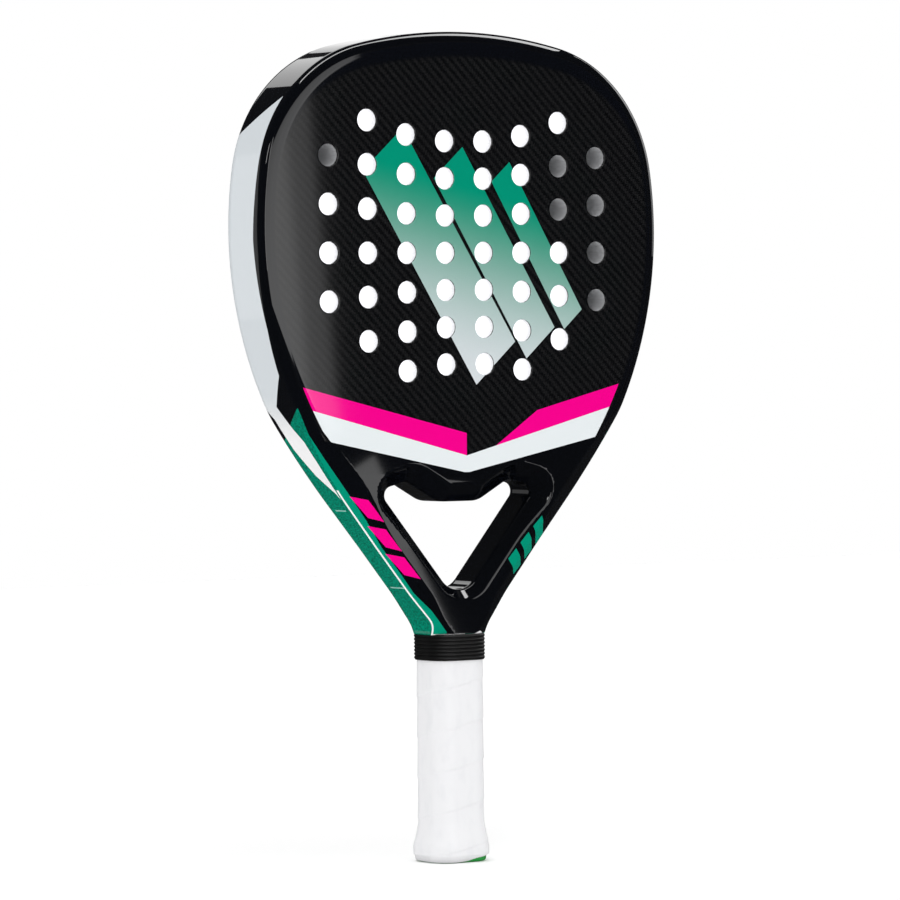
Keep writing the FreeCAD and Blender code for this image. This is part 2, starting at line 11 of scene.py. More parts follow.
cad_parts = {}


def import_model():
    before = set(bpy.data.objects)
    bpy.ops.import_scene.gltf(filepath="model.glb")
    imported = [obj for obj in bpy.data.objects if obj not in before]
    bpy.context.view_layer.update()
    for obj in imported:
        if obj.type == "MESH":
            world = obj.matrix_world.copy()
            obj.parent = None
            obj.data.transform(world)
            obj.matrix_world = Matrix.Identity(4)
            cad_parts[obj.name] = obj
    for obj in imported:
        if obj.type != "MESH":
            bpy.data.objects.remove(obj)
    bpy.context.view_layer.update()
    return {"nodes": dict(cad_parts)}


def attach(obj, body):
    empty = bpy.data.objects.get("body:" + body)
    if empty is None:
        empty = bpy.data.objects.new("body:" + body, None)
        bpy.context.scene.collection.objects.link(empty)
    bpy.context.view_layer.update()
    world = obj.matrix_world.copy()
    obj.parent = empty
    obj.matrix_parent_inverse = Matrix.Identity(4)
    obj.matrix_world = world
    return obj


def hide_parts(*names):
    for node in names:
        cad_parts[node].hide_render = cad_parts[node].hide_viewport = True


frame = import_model()
MM = 0.001

# Driving sizes in millimetres and degrees, the same as in part.py
RACKET_LEN, HEAD_HALF_T, EDGE_HALF_T = 455.0, 19.0, 16.0
EDGE_BEVEL, SKIN_T = 5.5, 1.0
CROWN_R, SHOULDER_R, SIDE_R, CHEEK_R = 293.4, 81.0, 214.872, 334.6
TURNS = (0.0, 13.022, 80.75, 120.84, 129.29)
ARM_LEAN = math.radians(39.29)
NECK_HALF_W, NECK_Z, NECK_FILLET, NECK_FOOT_Z = 17.8, 130.4, 12.5, 125.2
ARM_HALF_T, ARM_SIDE_HALF_T, ARM_BEVEL, ARM_CLIMB = 15.2, 9.0, 8.0, 0.03
TAPER_LOW, TAPER_HIGH = 174.0, 214.0
VEE_Z, VEE_SLOPE = 214.0, 0.208
THROAT_Z, THROAT_BOTTOM_R = 141.6, 14.0
THROAT_CORNER_Z, THROAT_CORNER_R, THROAT_SHOULDER = 205.3, 5.0, 18.4
THROAT_PEAK_Z, THROAT_PEAK_R = 209.9, 8.0
THROAT_FLAT_X, THROAT_FLAT_Z, THROAT_FLAT_R = 12.9, 198.2, 16.0
THROAT_HALF_T, THROAT_FLARE = 10.0, 1.08
HOLE_R, HOLE_PITCH_X, HOLE_ROW_Z = 6.1, 25.2, 334.22
COLUMNS = [(20.3, 3, 3), (21.4, 3, 3), (23.9, 3, 2), (26.3, 2, 1)]
HANDLE_HALF_X, HANDLE_HALF_Y, HANDLE_CORNER = 14.1, 12.7, 8.0
GRIP_OUT, OVER_T = 2.3, 0.7
GRIP_LOW_Z, GRIP_TOP_Z = 3.0, 125.0
FLARE = [(3.0, 2.2), (8.5, 2.6), (14.0, 1.2), (22.0, 0.0), (127.0, 0.0)]
# Heights of the overgrip's wound edges, by their share of the way round the handle: those of its
# foot, and those of its top above GRIP_TOP_Z
GRIP_FOOT = [(0.0, 2.4), (0.06, 3.1), (0.45, 3.1), (0.55, 0.6), (0.86, 0.4), (0.93, 0.9),
             (1.0, 2.4)]
GRIP_EDGE = [(0.0, 2.0), (0.1, 1.9), (0.25, 1.3), (0.5, 1.0), (0.72, 1.1), (0.77, 0.2), (0.92, 0.2),
             (0.95, 1.4), (1.0, 2.0)]
CAP_RIM = 3.4
COLLAR_LOW_Z, COLLAR_TOP_Z, COLLAR_IN, COLLAR_T = 111.0, 125.5, 2.55, 0.8
COLLAR_RIB, COLLAR_RIBS, COLLAR_LIP = 0.5, 7, 0.2

# Softening of the moulded edges
EDGE_ROUND, ARM_ROUND, THROAT_ROUND, HOLE_ROUND = 1.5, 0.6, 0.7, 0.35
BEVEL_CROWN = 0.25
CREASE_SOFT, WEDGE_SOFT, FLARE_SOFT = 1.4, 0.9, 0.9
NECK_SWELL, NECK_SWELL_Z = 2.4, 150.0
# The edge's round grows from ARM_ROUND to EDGE_ROUND over these heights
ROUND_LOW, ROUND_HIGH = 230.0, 290.0

# Steps of the meshes: along the rings of points, between them, and between the points of a fill
RIM_STEP, ARM_STEP, THROAT_STEP, SKIN_STEP = 1.6, 1.0, 0.9, 1.5
RING_GAP, SHELL_FILL, FACE_FILL = 0.5, 1.1, 4.0
# Rings follow the outline this far in, and the throat this far out; a fill takes the rest
ARM_REACH, THROAT_REACH, FACE_REACH = 9.8, 11.0, 19.0
FILL_CLEAR, ON_RING, HOLE_SIDES, VEE_STEPS = 0.2, 0.05, 40, 60
ROW_HEIGHT = 0.87  # of a row of even triangles, as a share of their side
WIDEST = 120.0  # half of the plan that is filled with points


# Plan curves of arcs and lines, with a signed distance
class Plan:
    """A closed curve of tangent arcs and lines, walked so that the inside is on the right."""

    def __init__(self):
        self.parts = []

    def line(self, a, b):
        """A straight part from a to b."""
        self.parts.append(("line", np.array(a, float), np.array(b, float)))

    def arc(self, centre, radius, start, end):
        """Angles in radians; end below start is clockwise, where the centre is inside."""
        self.parts.append(("arc", np.array(centre, float), radius, start, end))

    def points(self, step, inset=0.0):
        """Points along the curve, about step apart, on a parallel curve inset inward."""
        out = []
        for part in self.parts:
            if part[0] == "line":
                a, b = part[1], part[2]
                u = (b - a) / np.linalg.norm(b - a)
                n = max(1, round(np.linalg.norm(b - a) / step))
                shift = np.array([u[1], -u[0]]) * inset
                out += [a + (b - a) * i / n + shift for i in range(n)]
            else:
                _, c, r, t0, t1 = part
                rr = r - inset if t1 < t0 else r + inset
                n = max(3, round(abs(t1 - t0) * r / step), round(abs(t1 - t0) / 0.15))
                angles = [t0 + (t1 - t0) * i / n for i in range(n)]
                out += [c + rr * np.array([math.cos(t), math.sin(t)]) for t in angles]
        return np.array(out)

    def depth(self, p):
        """Distance from the curve to each point, positive on the inside."""
        best = np.full(len(p), 1e9)
        signed = np.zeros(len(p))
        for part in self.parts:
            if part[0] == "line":
                a, b = part[1], part[2]
                length = np.linalg.norm(b - a)
                u = (b - a) / length
                s = (p - a) @ u
                value = (p - a) @ np.array([u[1], -u[0]])
                clear = np.maximum(0, np.maximum(-s, s - length))
                away = np.hypot(value, clear)
            else:
                _, c, r, t0, t1 = part
                q = p - c
                value = r - np.hypot(q[:, 0], q[:, 1])
                if t1 > t0:
                    value = -value
                mid = (t0 + t1) / 2
                turn = (np.arctan2(q[:, 1], q[:, 0]) - mid + math.pi) % (2 * math.pi) - math.pi
                outside = np.abs(turn) > abs(t1 - t0) / 2 + 1e-6
                away = np.where(outside, 1e8, np.abs(value))
            closer = away < best
            best = np.where(closer, away, best)
            signed = np.where(closer, value, signed)
        return signed


def outline():
    """Head and arms, walked clockwise from the crown, closed by a straight foot at the neck."""
    half = []
    x, z = 0.0, RACKET_LEN
    for radius, first, last in zip((CROWN_R, SHOULDER_R, SIDE_R, CHEEK_R), TURNS, TURNS[1:]):
        a, b = math.radians(first), math.radians(last)
        centre = (x - radius * math.sin(a), z - radius * math.cos(a))
        half.append(("arc", centre, radius, math.pi / 2 - a, math.pi / 2 - b))
        x, z = centre[0] + radius * math.sin(b), centre[1] + radius * math.cos(b)
    run = NECK_FILLET * math.tan(ARM_LEAN / 2)
    top = (NECK_HALF_W + run * math.sin(ARM_LEAN), NECK_Z + run * math.cos(ARM_LEAN))
    half.append(("line", (x, z), top))
    centre = (NECK_HALF_W + NECK_FILLET, NECK_Z - run)
    half.append(("arc", centre, NECK_FILLET, math.pi - ARM_LEAN, math.pi))
    half.append(("line", (NECK_HALF_W, NECK_Z - run), (NECK_HALF_W, NECK_FOOT_Z)))
    plan = Plan()
    for part in half:
        plan.line(*part[1:]) if part[0] == "line" else plan.arc(*part[1:])
    plan.line((NECK_HALF_W, NECK_FOOT_Z), (-NECK_HALF_W, NECK_FOOT_Z))
    for part in reversed(half):
        if part[0] == "line":
            (ax, az), (bx, bz) = part[1:]
            plan.line((-bx, bz), (-ax, az))
        else:
            _, (cx, cz), r, t0, t1 = part
            plan.arc((-cx, cz), r, math.pi - t1, math.pi - t0)
    return plan


def throat():
    """The opening, walked clockwise, so that its inside is on the right."""
    corner_x = (THROAT_CORNER_Z - THROAT_Z) * math.tan(ARM_LEAN)
    right = [(corner_x, THROAT_CORNER_Z), (corner_x - THROAT_SHOULDER, THROAT_PEAK_Z),
             (THROAT_FLAT_X, THROAT_FLAT_Z)]
    radii = [THROAT_CORNER_R, THROAT_PEAK_R, THROAT_FLAT_R]
    corners = [(0.0, THROAT_Z)] + [(-x, z) for x, z in right] + right[::-1]
    radii = [THROAT_BOTTOM_R] + radii + radii[::-1]
    arcs = []
    for i, (point, radius) in enumerate(zip(corners, radii)):
        before, after = Vector(corners[i - 1]), Vector(corners[(i + 1) % len(corners)])
        p = Vector(point)
        u, w = (before - p).normalized(), (after - p).normalized()
        half = math.acos(u.dot(w)) / 2
        a, b = p + u * radius / math.tan(half), p + w * radius / math.tan(half)
        c = p + (u + w).normalized() * radius / math.sin(half)
        t0, t1 = math.atan2(*(a - c).yx), math.atan2(*(b - c).yx)
        turn = (t1 - t0 + math.pi) % (2 * math.pi) - math.pi
        arcs.append((a, b, c, radius, t0, t0 + turn))
    plan = Plan()
    for i, (a, b, c, radius, t0, t1) in enumerate(arcs):
        plan.arc(c, radius, t0, t1)
        plan.line(b, arcs[(i + 1) % len(arcs)][0])
    return plan


OUTLINE, THROAT = outline(), throat()
ARM_FOOT = np.array([NECK_HALF_W + (TAPER_LOW - NECK_Z) * math.tan(ARM_LEAN), TAPER_LOW])


def soft_min(a, b, soft):
    """The lesser of two heights, with the crease between them rounded over about soft."""
    near = np.maximum(soft - np.abs(a - b), 0) / soft
    return np.minimum(a, b) - near * near * soft / 4


def quarter(distance, radius):
    """How far a quarter-round edge lies below the surface, this far in from the wall."""
    t = np.clip(1 - distance / radius, 0, 1)
    return radius * (1 - np.sqrt(1 - t * t))


def half_thickness(p):
    """Half thickness of the moulded form over each plan point (x, z)."""
    depth = np.maximum(OUTLINE.depth(p), 0)
    from_throat = np.maximum(-THROAT.depth(p), 0)
    z = p[:, 1]
    share = np.clip((z - TAPER_LOW) / (TAPER_HIGH - TAPER_LOW), 0, 1)
    face = ARM_HALF_T + (HEAD_HALF_T - ARM_HALF_T) * share * share * (3 - 2 * share)
    way = depth / EDGE_BEVEL
    bevel = (EDGE_HALF_T + (HEAD_HALF_T - EDGE_HALF_T) * way
             + 4 * BEVEL_CROWN * way * np.clip(1 - way, -0.2, 1))
    q = np.column_stack([np.abs(p[:, 0]), z]) - ARM_FOOT
    inside = -(q @ np.array([math.cos(ARM_LEAN), -math.sin(ARM_LEAN)]))
    along = q @ np.array([math.sin(ARM_LEAN), math.cos(ARM_LEAN)])
    fall = (ARM_HALF_T - ARM_SIDE_HALF_T) / ARM_BEVEL
    swell = np.clip((NECK_SWELL_Z - z) / (NECK_SWELL_Z - NECK_Z), 0, 1)
    wedge = (ARM_SIDE_HALF_T + fall * inside + ARM_CLIMB * np.maximum(along, 0)
             + NECK_SWELL * swell * swell * (3 - 2 * swell))
    flare = THROAT_HALF_T + from_throat / THROAT_FLARE
    t = soft_min(face, bevel, CREASE_SOFT)
    t = soft_min(t, wedge, WEDGE_SOFT)
    t = soft_min(t, flare, FLARE_SOFT)
    grown = np.clip((z - ROUND_LOW) / (ROUND_HIGH - ROUND_LOW), 0, 1)
    edge = ARM_ROUND + (EDGE_ROUND - ARM_ROUND) * grown
    return t - quarter(depth, edge) - quarter(from_throat, THROAT_ROUND)


def hole_centres():
    """The face's holes, column by column, mirrored about the middle."""
    for column, (pitch, above, under) in enumerate(COLUMNS):
        for place in range(-under, above + 1):
            for side in (-1, 1):
                yield (side * (column + 0.5) * HOLE_PITCH_X, HOLE_ROW_Z + place * pitch)


HOLES = np.array(list(hole_centres()))


def from_holes(p):
    """Distance from each point to the nearest hole's centre."""
    return np.min(np.hypot(p[:, 0, None] - HOLES[:, 0], p[:, 1, None] - HOLES[:, 1]), axis=1)


def skin_thickness(p):
    """The same form with a small round at the edge of each hole."""
    return half_thickness(p) - quarter(np.maximum(from_holes(p) - HOLE_R, 0), HOLE_ROUND)


def slope_normals(thickness, p, side):
    """Outward normals of the surface y = side * thickness, from its gradient."""
    eps = 0.02
    gx = (thickness(p + [eps, 0]) - thickness(p - [eps, 0])) / (2 * eps)
    gz = (thickness(p + [0, eps]) - thickness(p - [0, eps])) / (2 * eps)
    n = np.column_stack([-gx, np.full(len(p), float(side)), -gz])
    return n / np.linalg.norm(n, axis=1, keepdims=True)


# Meshes
def new_object(name, verts, faces, smooth=True):
    """A mesh object in the scene, from points in metres."""
    mesh = bpy.data.meshes.new(name)
    mesh.from_pydata([tuple(v) for v in verts], [], faces)
    mesh.polygons.foreach_set("use_smooth", [smooth] * len(mesh.polygons))
    mesh.update()
    obj = bpy.data.objects.new(name, mesh)
    bpy.context.scene.collection.objects.link(obj)
    return obj


def inside_polygon(p, polygon):
    """Even-odd test of many points against one polygon."""
    hit = np.zeros(len(p), bool)
    a, b = polygon, np.roll(polygon, -1, axis=0)
    for (ax, az), (bx, bz) in zip(a, b):
        if az == bz:
            continue
        crosses = (az > p[:, 1]) != (bz > p[:, 1])
        hit ^= crosses & (p[:, 0] < (bx - ax) * (p[:, 1] - az) / (bz - az) + ax)
    return hit


def plan_mesh(borders, extra, keep):
    """Triangles over the plan: border loops are kept as edges, keep says which triangles stay."""
    coords, edges, loops = [], [], []
    for loop in borders:
        first = len(coords)
        coords += [Vector(p) for p in loop]
        edges += [(first + i, first + (i + 1) % len(loop)) for i in range(len(loop))]
        loops.append(np.arange(first, first + len(loop)))
    coords += [Vector(p) for p in extra]
    verts, _, tris, origin, _, _ = delaunay_2d_cdt(coords, edges, [], 0, 1e-6)
    new_index = {}
    for i, sources in enumerate(origin):
        for s in sources:
            new_index[s] = i
    p = np.array([tuple(v) for v in verts])
    tris = np.array([tuple(t) for t in tris])
    tris = tris[keep(p[tris].mean(axis=1))]
    cross = np.cross(p[tris[:, 1]] - p[tris[:, 0]], p[tris[:, 2]] - p[tris[:, 0]])
    tris[cross < 0] = tris[cross < 0][:, ::-1]
    used, flat = np.unique(tris, return_inverse=True)
    where = {old: new for new, old in enumerate(used)}
    loops = [[where[new_index[s]] for s in loop] for loop in loops]
    return p[used], flat.reshape(tris.shape), loops


def strip(front, rear, rows, points, normals, verts, faces, outward):
    """A wall between two loops of vertices, with rows across it."""
    n = len(front)
    grid = [list(front)]
    a, b = points[front], points[rear]
    for row in range(1, rows):
        first = len(verts)
        share = row / rows
        for i in range(n):
            verts.append(a[i] + (b[i] - a[i]) * share)
            normals.append(outward[i])
        grid.append(list(range(first, first + n)))
    grid.append(list(rear))
    for upper, lower in zip(grid, grid[1:]):
        for i in range(n):
            j = (i + 1) % n
            faces.append((upper[i], lower[i], lower[j], upper[j]))


def outward_of(plan, loop_points):
    """Unit normals in plan, pointing out of the material, as 3-D vectors."""
    eps = 0.01
    gx = plan.depth(loop_points + [eps, 0]) - plan.depth(loop_points - [eps, 0])
    gz = plan.depth(loop_points + [0, eps]) - plan.depth(loop_points - [0, eps])
    n = np.column_stack([-gx, np.zeros(len(gx)), -gz])
    return n / np.maximum(np.linalg.norm(n, axis=1, keepdims=True), 1e-9)


def round_steps(radius, count=6):
    """How far in the rings of a quarter-round edge lie, so that each turns by the same angle."""
    return [radius * (1 - math.cos(math.radians(90 * i / count))) for i in range(1, count + 1)]


def vee_height(x):
    """Height of the vee that ends the faces below."""
    return VEE_Z + VEE_SLOPE * np.abs(x)


def skin_border():
    """Edge of a face: the crease round the head, closed by the vee."""
    corner_z, corner_x, waist_z, far = 0.4, 0.9, 300, 1e3
    ring = OUTLINE.points(SKIN_STEP, EDGE_BEVEL)
    above = ring[ring[:, 1] > vee_height(ring[:, 0]) + corner_z]
    right = above[above[:, 0] > 0][-1]
    left = above[above[:, 0] < 0][0]
    xs = np.linspace(right[0] - corner_x, left[0] + corner_x, VEE_STEPS)
    vee = np.column_stack([xs, vee_height(xs)])
    start = np.argmin(np.abs(above[:, 0]) + (above[:, 1] < waist_z) * far)
    above = np.roll(above, -start, axis=0)
    split = np.where(above[:, 0] > 0)[0].max() + 1
    return np.vstack([above[:split], vee, above[split:]])


SKIN_BORDER = skin_border()


def grid_points(low, high, step):
    """Points of even triangles between two corners."""
    xs = np.arange(low[0], high[0], step)
    zs = np.arange(low[1], high[1], step * ROW_HEIGHT)
    return np.vstack([np.column_stack([xs + (i % 2) * step / 2, np.full(len(xs), z)])
                      for i, z in enumerate(zs)])


def clearance(p, polygon):
    """Distance from points to the nearest vertex of a densely walked loop."""
    out = []
    block = 2000
    for start in range(0, len(p), block):
        part = p[start:start + block]
        d = np.hypot(part[:, 0, None] - polygon[:, 0], part[:, 1, None] - polygon[:, 1])
        out.append(d.min(axis=1))
    return np.concatenate(out)


def whole_ring(plan, step, inset):
    """A parallel curve, without the points that a tight corner folds back."""
    ring = plan.points(step, inset)
    return ring[np.abs(plan.depth(ring) - inset) < ON_RING]


def frame_shell():
    """The tube, arms and bridge as one moulded surface with rounded edges."""
    rim, hole = OUTLINE.points(RIM_STEP), THROAT.points(THROAT_STEP)
    rings = [whole_ring(OUTLINE, RIM_STEP, inset)
             for inset in round_steps(EDGE_ROUND) + [2.0, 2.6, 3.2, 3.8, 4.4, 4.8, 5.1]]
    rings += [whole_ring(OUTLINE, ARM_STEP, inset) for inset in np.arange(5.6, 9.7, RING_GAP)]
    rings = np.vstack(rings)
    throat_rings = np.vstack([whole_ring(THROAT, THROAT_STEP, -out) for out
                              in round_steps(THROAT_ROUND) + list(np.arange(1.2, 10.9, RING_GAP))])
    fill_x, fill_up, foot, touch, skin_clear = 105, 30, rim[:, 1].min() + 0.3, 1e-4, 0.35
    fill = grid_points((-fill_x, foot), (fill_x, VEE_Z + fill_up), SHELL_FILL)
    fill = fill[(OUTLINE.depth(fill) > ARM_REACH + FILL_CLEAR)
                & (-THROAT.depth(fill) > THROAT_REACH + FILL_CLEAR)]
    extra = np.vstack([rings[-THROAT.depth(rings) > THROAT_REACH],
                       throat_rings[OUTLINE.depth(throat_rings) > ARM_REACH], fill])
    extra = extra[(OUTLINE.depth(extra) > touch) & ~inside_polygon(extra, SKIN_BORDER)
                  & (-THROAT.depth(extra) > touch) & (clearance(extra, SKIN_BORDER) > skin_clear)]

    def keep(p):
        return inside_polygon(p, rim) & ~inside_polygon(p, hole) & ~inside_polygon(p, SKIN_BORDER)

    p, tris, loops = plan_mesh([rim, hole, SKIN_BORDER], extra, keep)
    t = half_thickness(p)
    n = len(p)
    verts = [np.array([x, side * h, z]) for side in (-1, 1) for (x, z), h in zip(p, t)]
    normals = list(slope_normals(half_thickness, p, -1)) + list(slope_normals(half_thickness, p, 1))
    faces = [tuple(tri) for tri in tris]
    faces += [tuple(n + tri[::-1]) for tri in tris]
    points = np.array(verts)
    for loop, plan, rows in ((loops[0], OUTLINE, 14), (loops[1], THROAT, 10)):
        outward = outward_of(plan, p[loop])
        if plan is THROAT:
            outward = -outward
        strip(np.array(loop), n + np.array(loop), rows, points, normals, verts, faces, outward)
    middle = p[loops[2]].mean(axis=0)
    inner = [np.array([middle[0] - x, 0, middle[1] - z]) for x, z in p[loops[2]]]
    strip(np.array(loops[2]), n + np.array(loops[2]), 2, points, normals, verts, faces, inner)
    return finish_mesh("frame_shell", verts, faces, normals)


def store_depth(obj, verts):
    """Each vertex keeps its distance from the outline, which the paint goes by."""
    plan = np.array([(v[0], v[2]) for v in verts])
    depth = obj.data.attributes.new("rim_mm", "FLOAT", "POINT")
    depth.data.foreach_set("value", np.maximum(OUTLINE.depth(plan), 0))


def finish_mesh(name, verts, faces, normals):
    """Object in metres, with every face turned outward and its analytic normals set."""
    obj = new_object(name, np.array(verts) * MM, faces)
    bm = bmesh.new()
    bm.from_mesh(obj.data)
    bmesh.ops.recalc_face_normals(bm, faces=bm.faces)
    bm.to_mesh(obj.data)
    bm.free()
    obj.data.normals_split_custom_set_from_vertices([tuple(v) for v in normals])
    store_depth(obj, verts)
    return obj


def face_skin(name, side):
    """One face: crease to crease, with every hole's edge rounded."""
    angles = [2 * math.pi * i / HOLE_SIDES for i in range(HOLE_SIDES)]
    circle = [(math.cos(a), math.sin(a)) for a in angles]
    collar_mm, fill_mm, ring_step, vee_clear, inside_share = 0.8, 2.0, 2.0, 0.5, 0.99

    def circles(radius):
        return [np.array([(x + radius * c, z + radius * s) for c, s in circle]) for x, z in HOLES]

    rims, extra = circles(HOLE_R), []
    for out in round_steps(HOLE_ROUND, 3) + [collar_mm]:
        extra += circles(HOLE_R + out)
    for inset in [5.9, 6.5] + [7.0 + i for i in range(11)]:
        extra.append(OUTLINE.points(ring_step, inset))
    fill = grid_points((-WIDEST, VEE_Z), (WIDEST, RACKET_LEN), FACE_FILL)
    fill = fill[OUTLINE.depth(fill) > FACE_REACH]
    extra.append(fill[from_holes(fill) > HOLE_R + fill_mm])
    extra = np.vstack(extra)
    extra = extra[inside_polygon(extra, SKIN_BORDER)]
    extra = extra[extra[:, 1] > vee_height(extra[:, 0]) + vee_clear]

    def keep(p):
        return inside_polygon(p, SKIN_BORDER) & (from_holes(p) > HOLE_R * inside_share)

    p, tris, loops = plan_mesh([SKIN_BORDER] + rims, extra, keep)
    t = skin_thickness(p)
    n = len(p)
    back = HEAD_HALF_T - SKIN_T
    verts = [np.array([x, side * h, z]) for (x, z), h in zip(p, t)]
    verts += [np.array([x, side * back, z]) for x, z in p]
    normals = list(slope_normals(skin_thickness, p, side)) + [np.array([0.0, -side, 0.0])] * n
    faces = [tuple(tri) for tri in tris] + [tuple(n + tri[::-1]) for tri in tris]
    points = np.array(verts)
    for loop in loops:
        centre = p[loop].mean(axis=0)
        sign = -1 if len(loop) == HOLE_SIDES else 1
        aim = [sign * np.array([x - centre[0], 0, z - centre[1]]) for x, z in p[loop]]
        strip(np.array(loop), n + np.array(loop), 1, points, normals, verts, faces, aim)
    return finish_mesh(name, verts, faces, normals)


# Sweeps round the handle's section
def handle_section(count):
    """Points and outward normals round the rounded handle, walked from the front."""
    hx, hy, r = HANDLE_HALF_X, HANDLE_HALF_Y, HANDLE_CORNER
    centres = [(hx - r, -(hy - r), -90), (hx - r, hy - r, 0), (-(hx - r), hy - r, 90),
               (-(hx - r), -(hy - r), 180)]
    straight = [2 * (hy - r), 2 * (hx - r), 2 * (hy - r), 2 * (hx - r)]
    arc = r * math.pi / 2
    total = sum(straight) + 4 * arc
    out = []
    for i in range(count):
        s = total * i / count
        for (cx, cy, start), run in zip(centres, straight):
            if s < arc:
                a = math.radians(start + 90 * s / arc)
                n = (math.cos(a), math.sin(a))
                out.append((cx + r * n[0], cy + r * n[1], *n))
                break
            s -= arc
            if s < run:
                a = math.radians(start + 90)
                n = (math.cos(a), math.sin(a))
                out.append((cx + r * n[0] - n[1] * s, cy + r * n[1] + n[0] * s, *n))
                break
            s -= run
    return np.array(out)


def sweep(name, rows, count, shape=None):
    """A closed loop of (height, margin) rows swept round the handle; shape moves each point."""
    section = handle_section(count)
    verts, faces = [], []
    for row in range(len(rows)):
        for i, (x, y, nx, ny) in enumerate(section):
            z, out = shape(i / count, row, *rows[row]) if shape else rows[row]
            verts.append((x + nx * out, y + ny * out, z))
    total = len(rows)
    for r in range(total):
        for i in range(count):
            j = (i + 1) % count
            a, b = r * count, ((r + 1) % total) * count
            faces.append((a + i, a + j, b + j, b + i))
    return new_object(name, np.array(verts) * MM, faces)


def flare_at(z):
    """How far the base grip's foot flares out at a height."""
    return float(np.interp(z, [f[0] for f in FLARE], [f[1] for f in FLARE]))


def overgrip():
    """White tape wound up the handle in one helix; each turn laps over the one below."""
    pitch, lap, blend, step, first_turn, tuck, swell = 22.5, 0.42, 1.3, 0.45, 9.0, 0.02, 0.15
    lip, window = 0.9, (-2, -1, 0, 1, 2)
    outer = list(np.arange(GRIP_LOW_Z + lip, GRIP_TOP_Z - 1.0, step))
    soft_flare = [sum(flare_at(max(z + dz, GRIP_LOW_Z)) for dz in window) / len(window)
                  for z in outer]
    foot = [(z, CAP_RIM + out) for z, out in ((0.0, 0.05), (0.0, 0.35), (0.12, 0.7), (0.4, 0.98),
                                              (0.75, 1.12))]
    rows = foot + [(z, GRIP_OUT + out) for z, out in zip(outer, soft_flare)]
    rows += [(GRIP_TOP_Z - 0.2, GRIP_OUT - 0.1), (GRIP_TOP_Z, GRIP_OUT - 0.3),
             (GRIP_TOP_Z, GRIP_OUT - OVER_T)]
    first, last = len(foot), len(foot) + len(outer)
    rows += [(z, GRIP_OUT - OVER_T + flare_at(z)) for z in (100.0, 60.0, 22.0, 14.0, 8.5)]
    rows.append((GRIP_LOW_Z + 0.2, CAP_RIM + 0.05))

    def shape(share, row, z, out):
        if row >= last:
            rise = np.interp(share, *zip(*GRIP_EDGE)) if row < last + 3 else 0.0
            return z + rise, out
        if row < first:
            low = np.interp(share, *zip(*GRIP_FOOT))
            return low + z * (GRIP_LOW_Z + lip - low) / lip, out
        phase = ((z - first_turn) / pitch - share) % 1.0
        rise = min(1.0, phase * pitch / blend)
        step_out = lap * rise * rise * (3 - 2 * rise) * (1 - phase)
        return z, out + swell * flare_at(z) + step_out - tuck

    return sweep("overgrip_tape", rows, 128, shape)


def collar():
    """Rubber collar with fine rolled ribs and a small lip at its top."""
    top, steps, margin, roundness = COLLAR_IN + COLLAR_T, 12, 0.25, 0.6
    rows = [(COLLAR_LOW_Z, COLLAR_IN), (COLLAR_LOW_Z, top - COLLAR_LIP)]
    count = COLLAR_RIBS * steps
    for i in range(count + 1):
        z = COLLAR_LOW_Z + margin + (COLLAR_TOP_Z - COLLAR_LOW_Z - 2 * margin) * i / count
        wave = 0.5 - 0.5 * math.cos(2 * math.pi * i / steps)
        rows.append((z, top + COLLAR_RIB * wave ** roundness))
    rows += [(COLLAR_TOP_Z, top - COLLAR_LIP), (COLLAR_TOP_Z, COLLAR_IN)]
    return sweep("collar_ribs", rows, 96)


def cap():
    """Moulded butt cap with a rolled rim."""
    rows = [(1.0, -5.5), (0.15, -5.4), (0.0, -5.2), (0.0, 1.2), (0.12, 1.9), (0.5, 2.7),
            (1.0, 3.2), (1.5, CAP_RIM), (2.3, CAP_RIM), (2.8, 3.1), (3.0, 2.6), (3.0, 0.0),
            (6.0, -1.0), (6.0, -5.5)]
    return sweep("cap_rim", rows, 96)


# Node fields: arithmetic on shader sockets, in millimetres
class Field:
    """A number at each point of a material. & and | join masks, and no() turns one round."""
    tree = None

    def __init__(self, socket):
        self.socket = socket

    @staticmethod
    def op(kind, *inputs, clamp=False):
        """One step of arithmetic on fields and numbers."""
        node = Field.tree.nodes.new("ShaderNodeMath")
        node.operation = kind
        node.use_clamp = clamp
        for slot, item in zip(node.inputs, inputs):
            if isinstance(item, Field):
                Field.tree.links.new(item.socket, slot)
            else:
                slot.default_value = item
        return Field(node.outputs[0])

    def __add__(self, other): return Field.op("ADD", self, other)
    def __radd__(self, other): return Field.op("ADD", other, self)
    def __sub__(self, other): return Field.op("SUBTRACT", self, other)
    def __rsub__(self, other): return Field.op("SUBTRACT", other, self)
    def __mul__(self, other): return Field.op("MULTIPLY", self, other)
    def __truediv__(self, other): return Field.op("DIVIDE", self, other)
    def __gt__(self, other): return Field.op("GREATER_THAN", self, other)
    def __lt__(self, other): return Field.op("LESS_THAN", self, other)
    def __abs__(self): return Field.op("ABSOLUTE", self)
    def __and__(self, other): return Field.op("MULTIPLY", self, other)
    def __or__(self, other): return Field.op("MAXIMUM", self, other)
    def no(self): return Field.op("SUBTRACT", 1.0, self)
    def floor(self): return Field.op("FLOOR", self)
    def fract(self): return Field.op("FRACT", self)
    def mod(self, n): return Field.op("FLOORED_MODULO", self, n)
    def clamped(self): return Field.op("ADD", self, 0.0, clamp=True)


def slope_up(field, low, high, top=1.0, kind="LINEAR"):
    """Rise from 0 at low to top at high."""
    node = Field.tree.nodes.new("ShaderNodeMapRange")
    node.interpolation_type = kind
    Field.tree.links.new(field.socket, node.inputs["Value"])
    for name, value in (("From Min", low), ("From Max", high), ("To Max", top)):
        node.inputs[name].default_value = value
    return Field(node.outputs["Result"])


def step_up(field, low, high):
    """Smooth rise from 0 at low to 1 at high."""
    return slope_up(field, low, high, kind="SMOOTHSTEP")


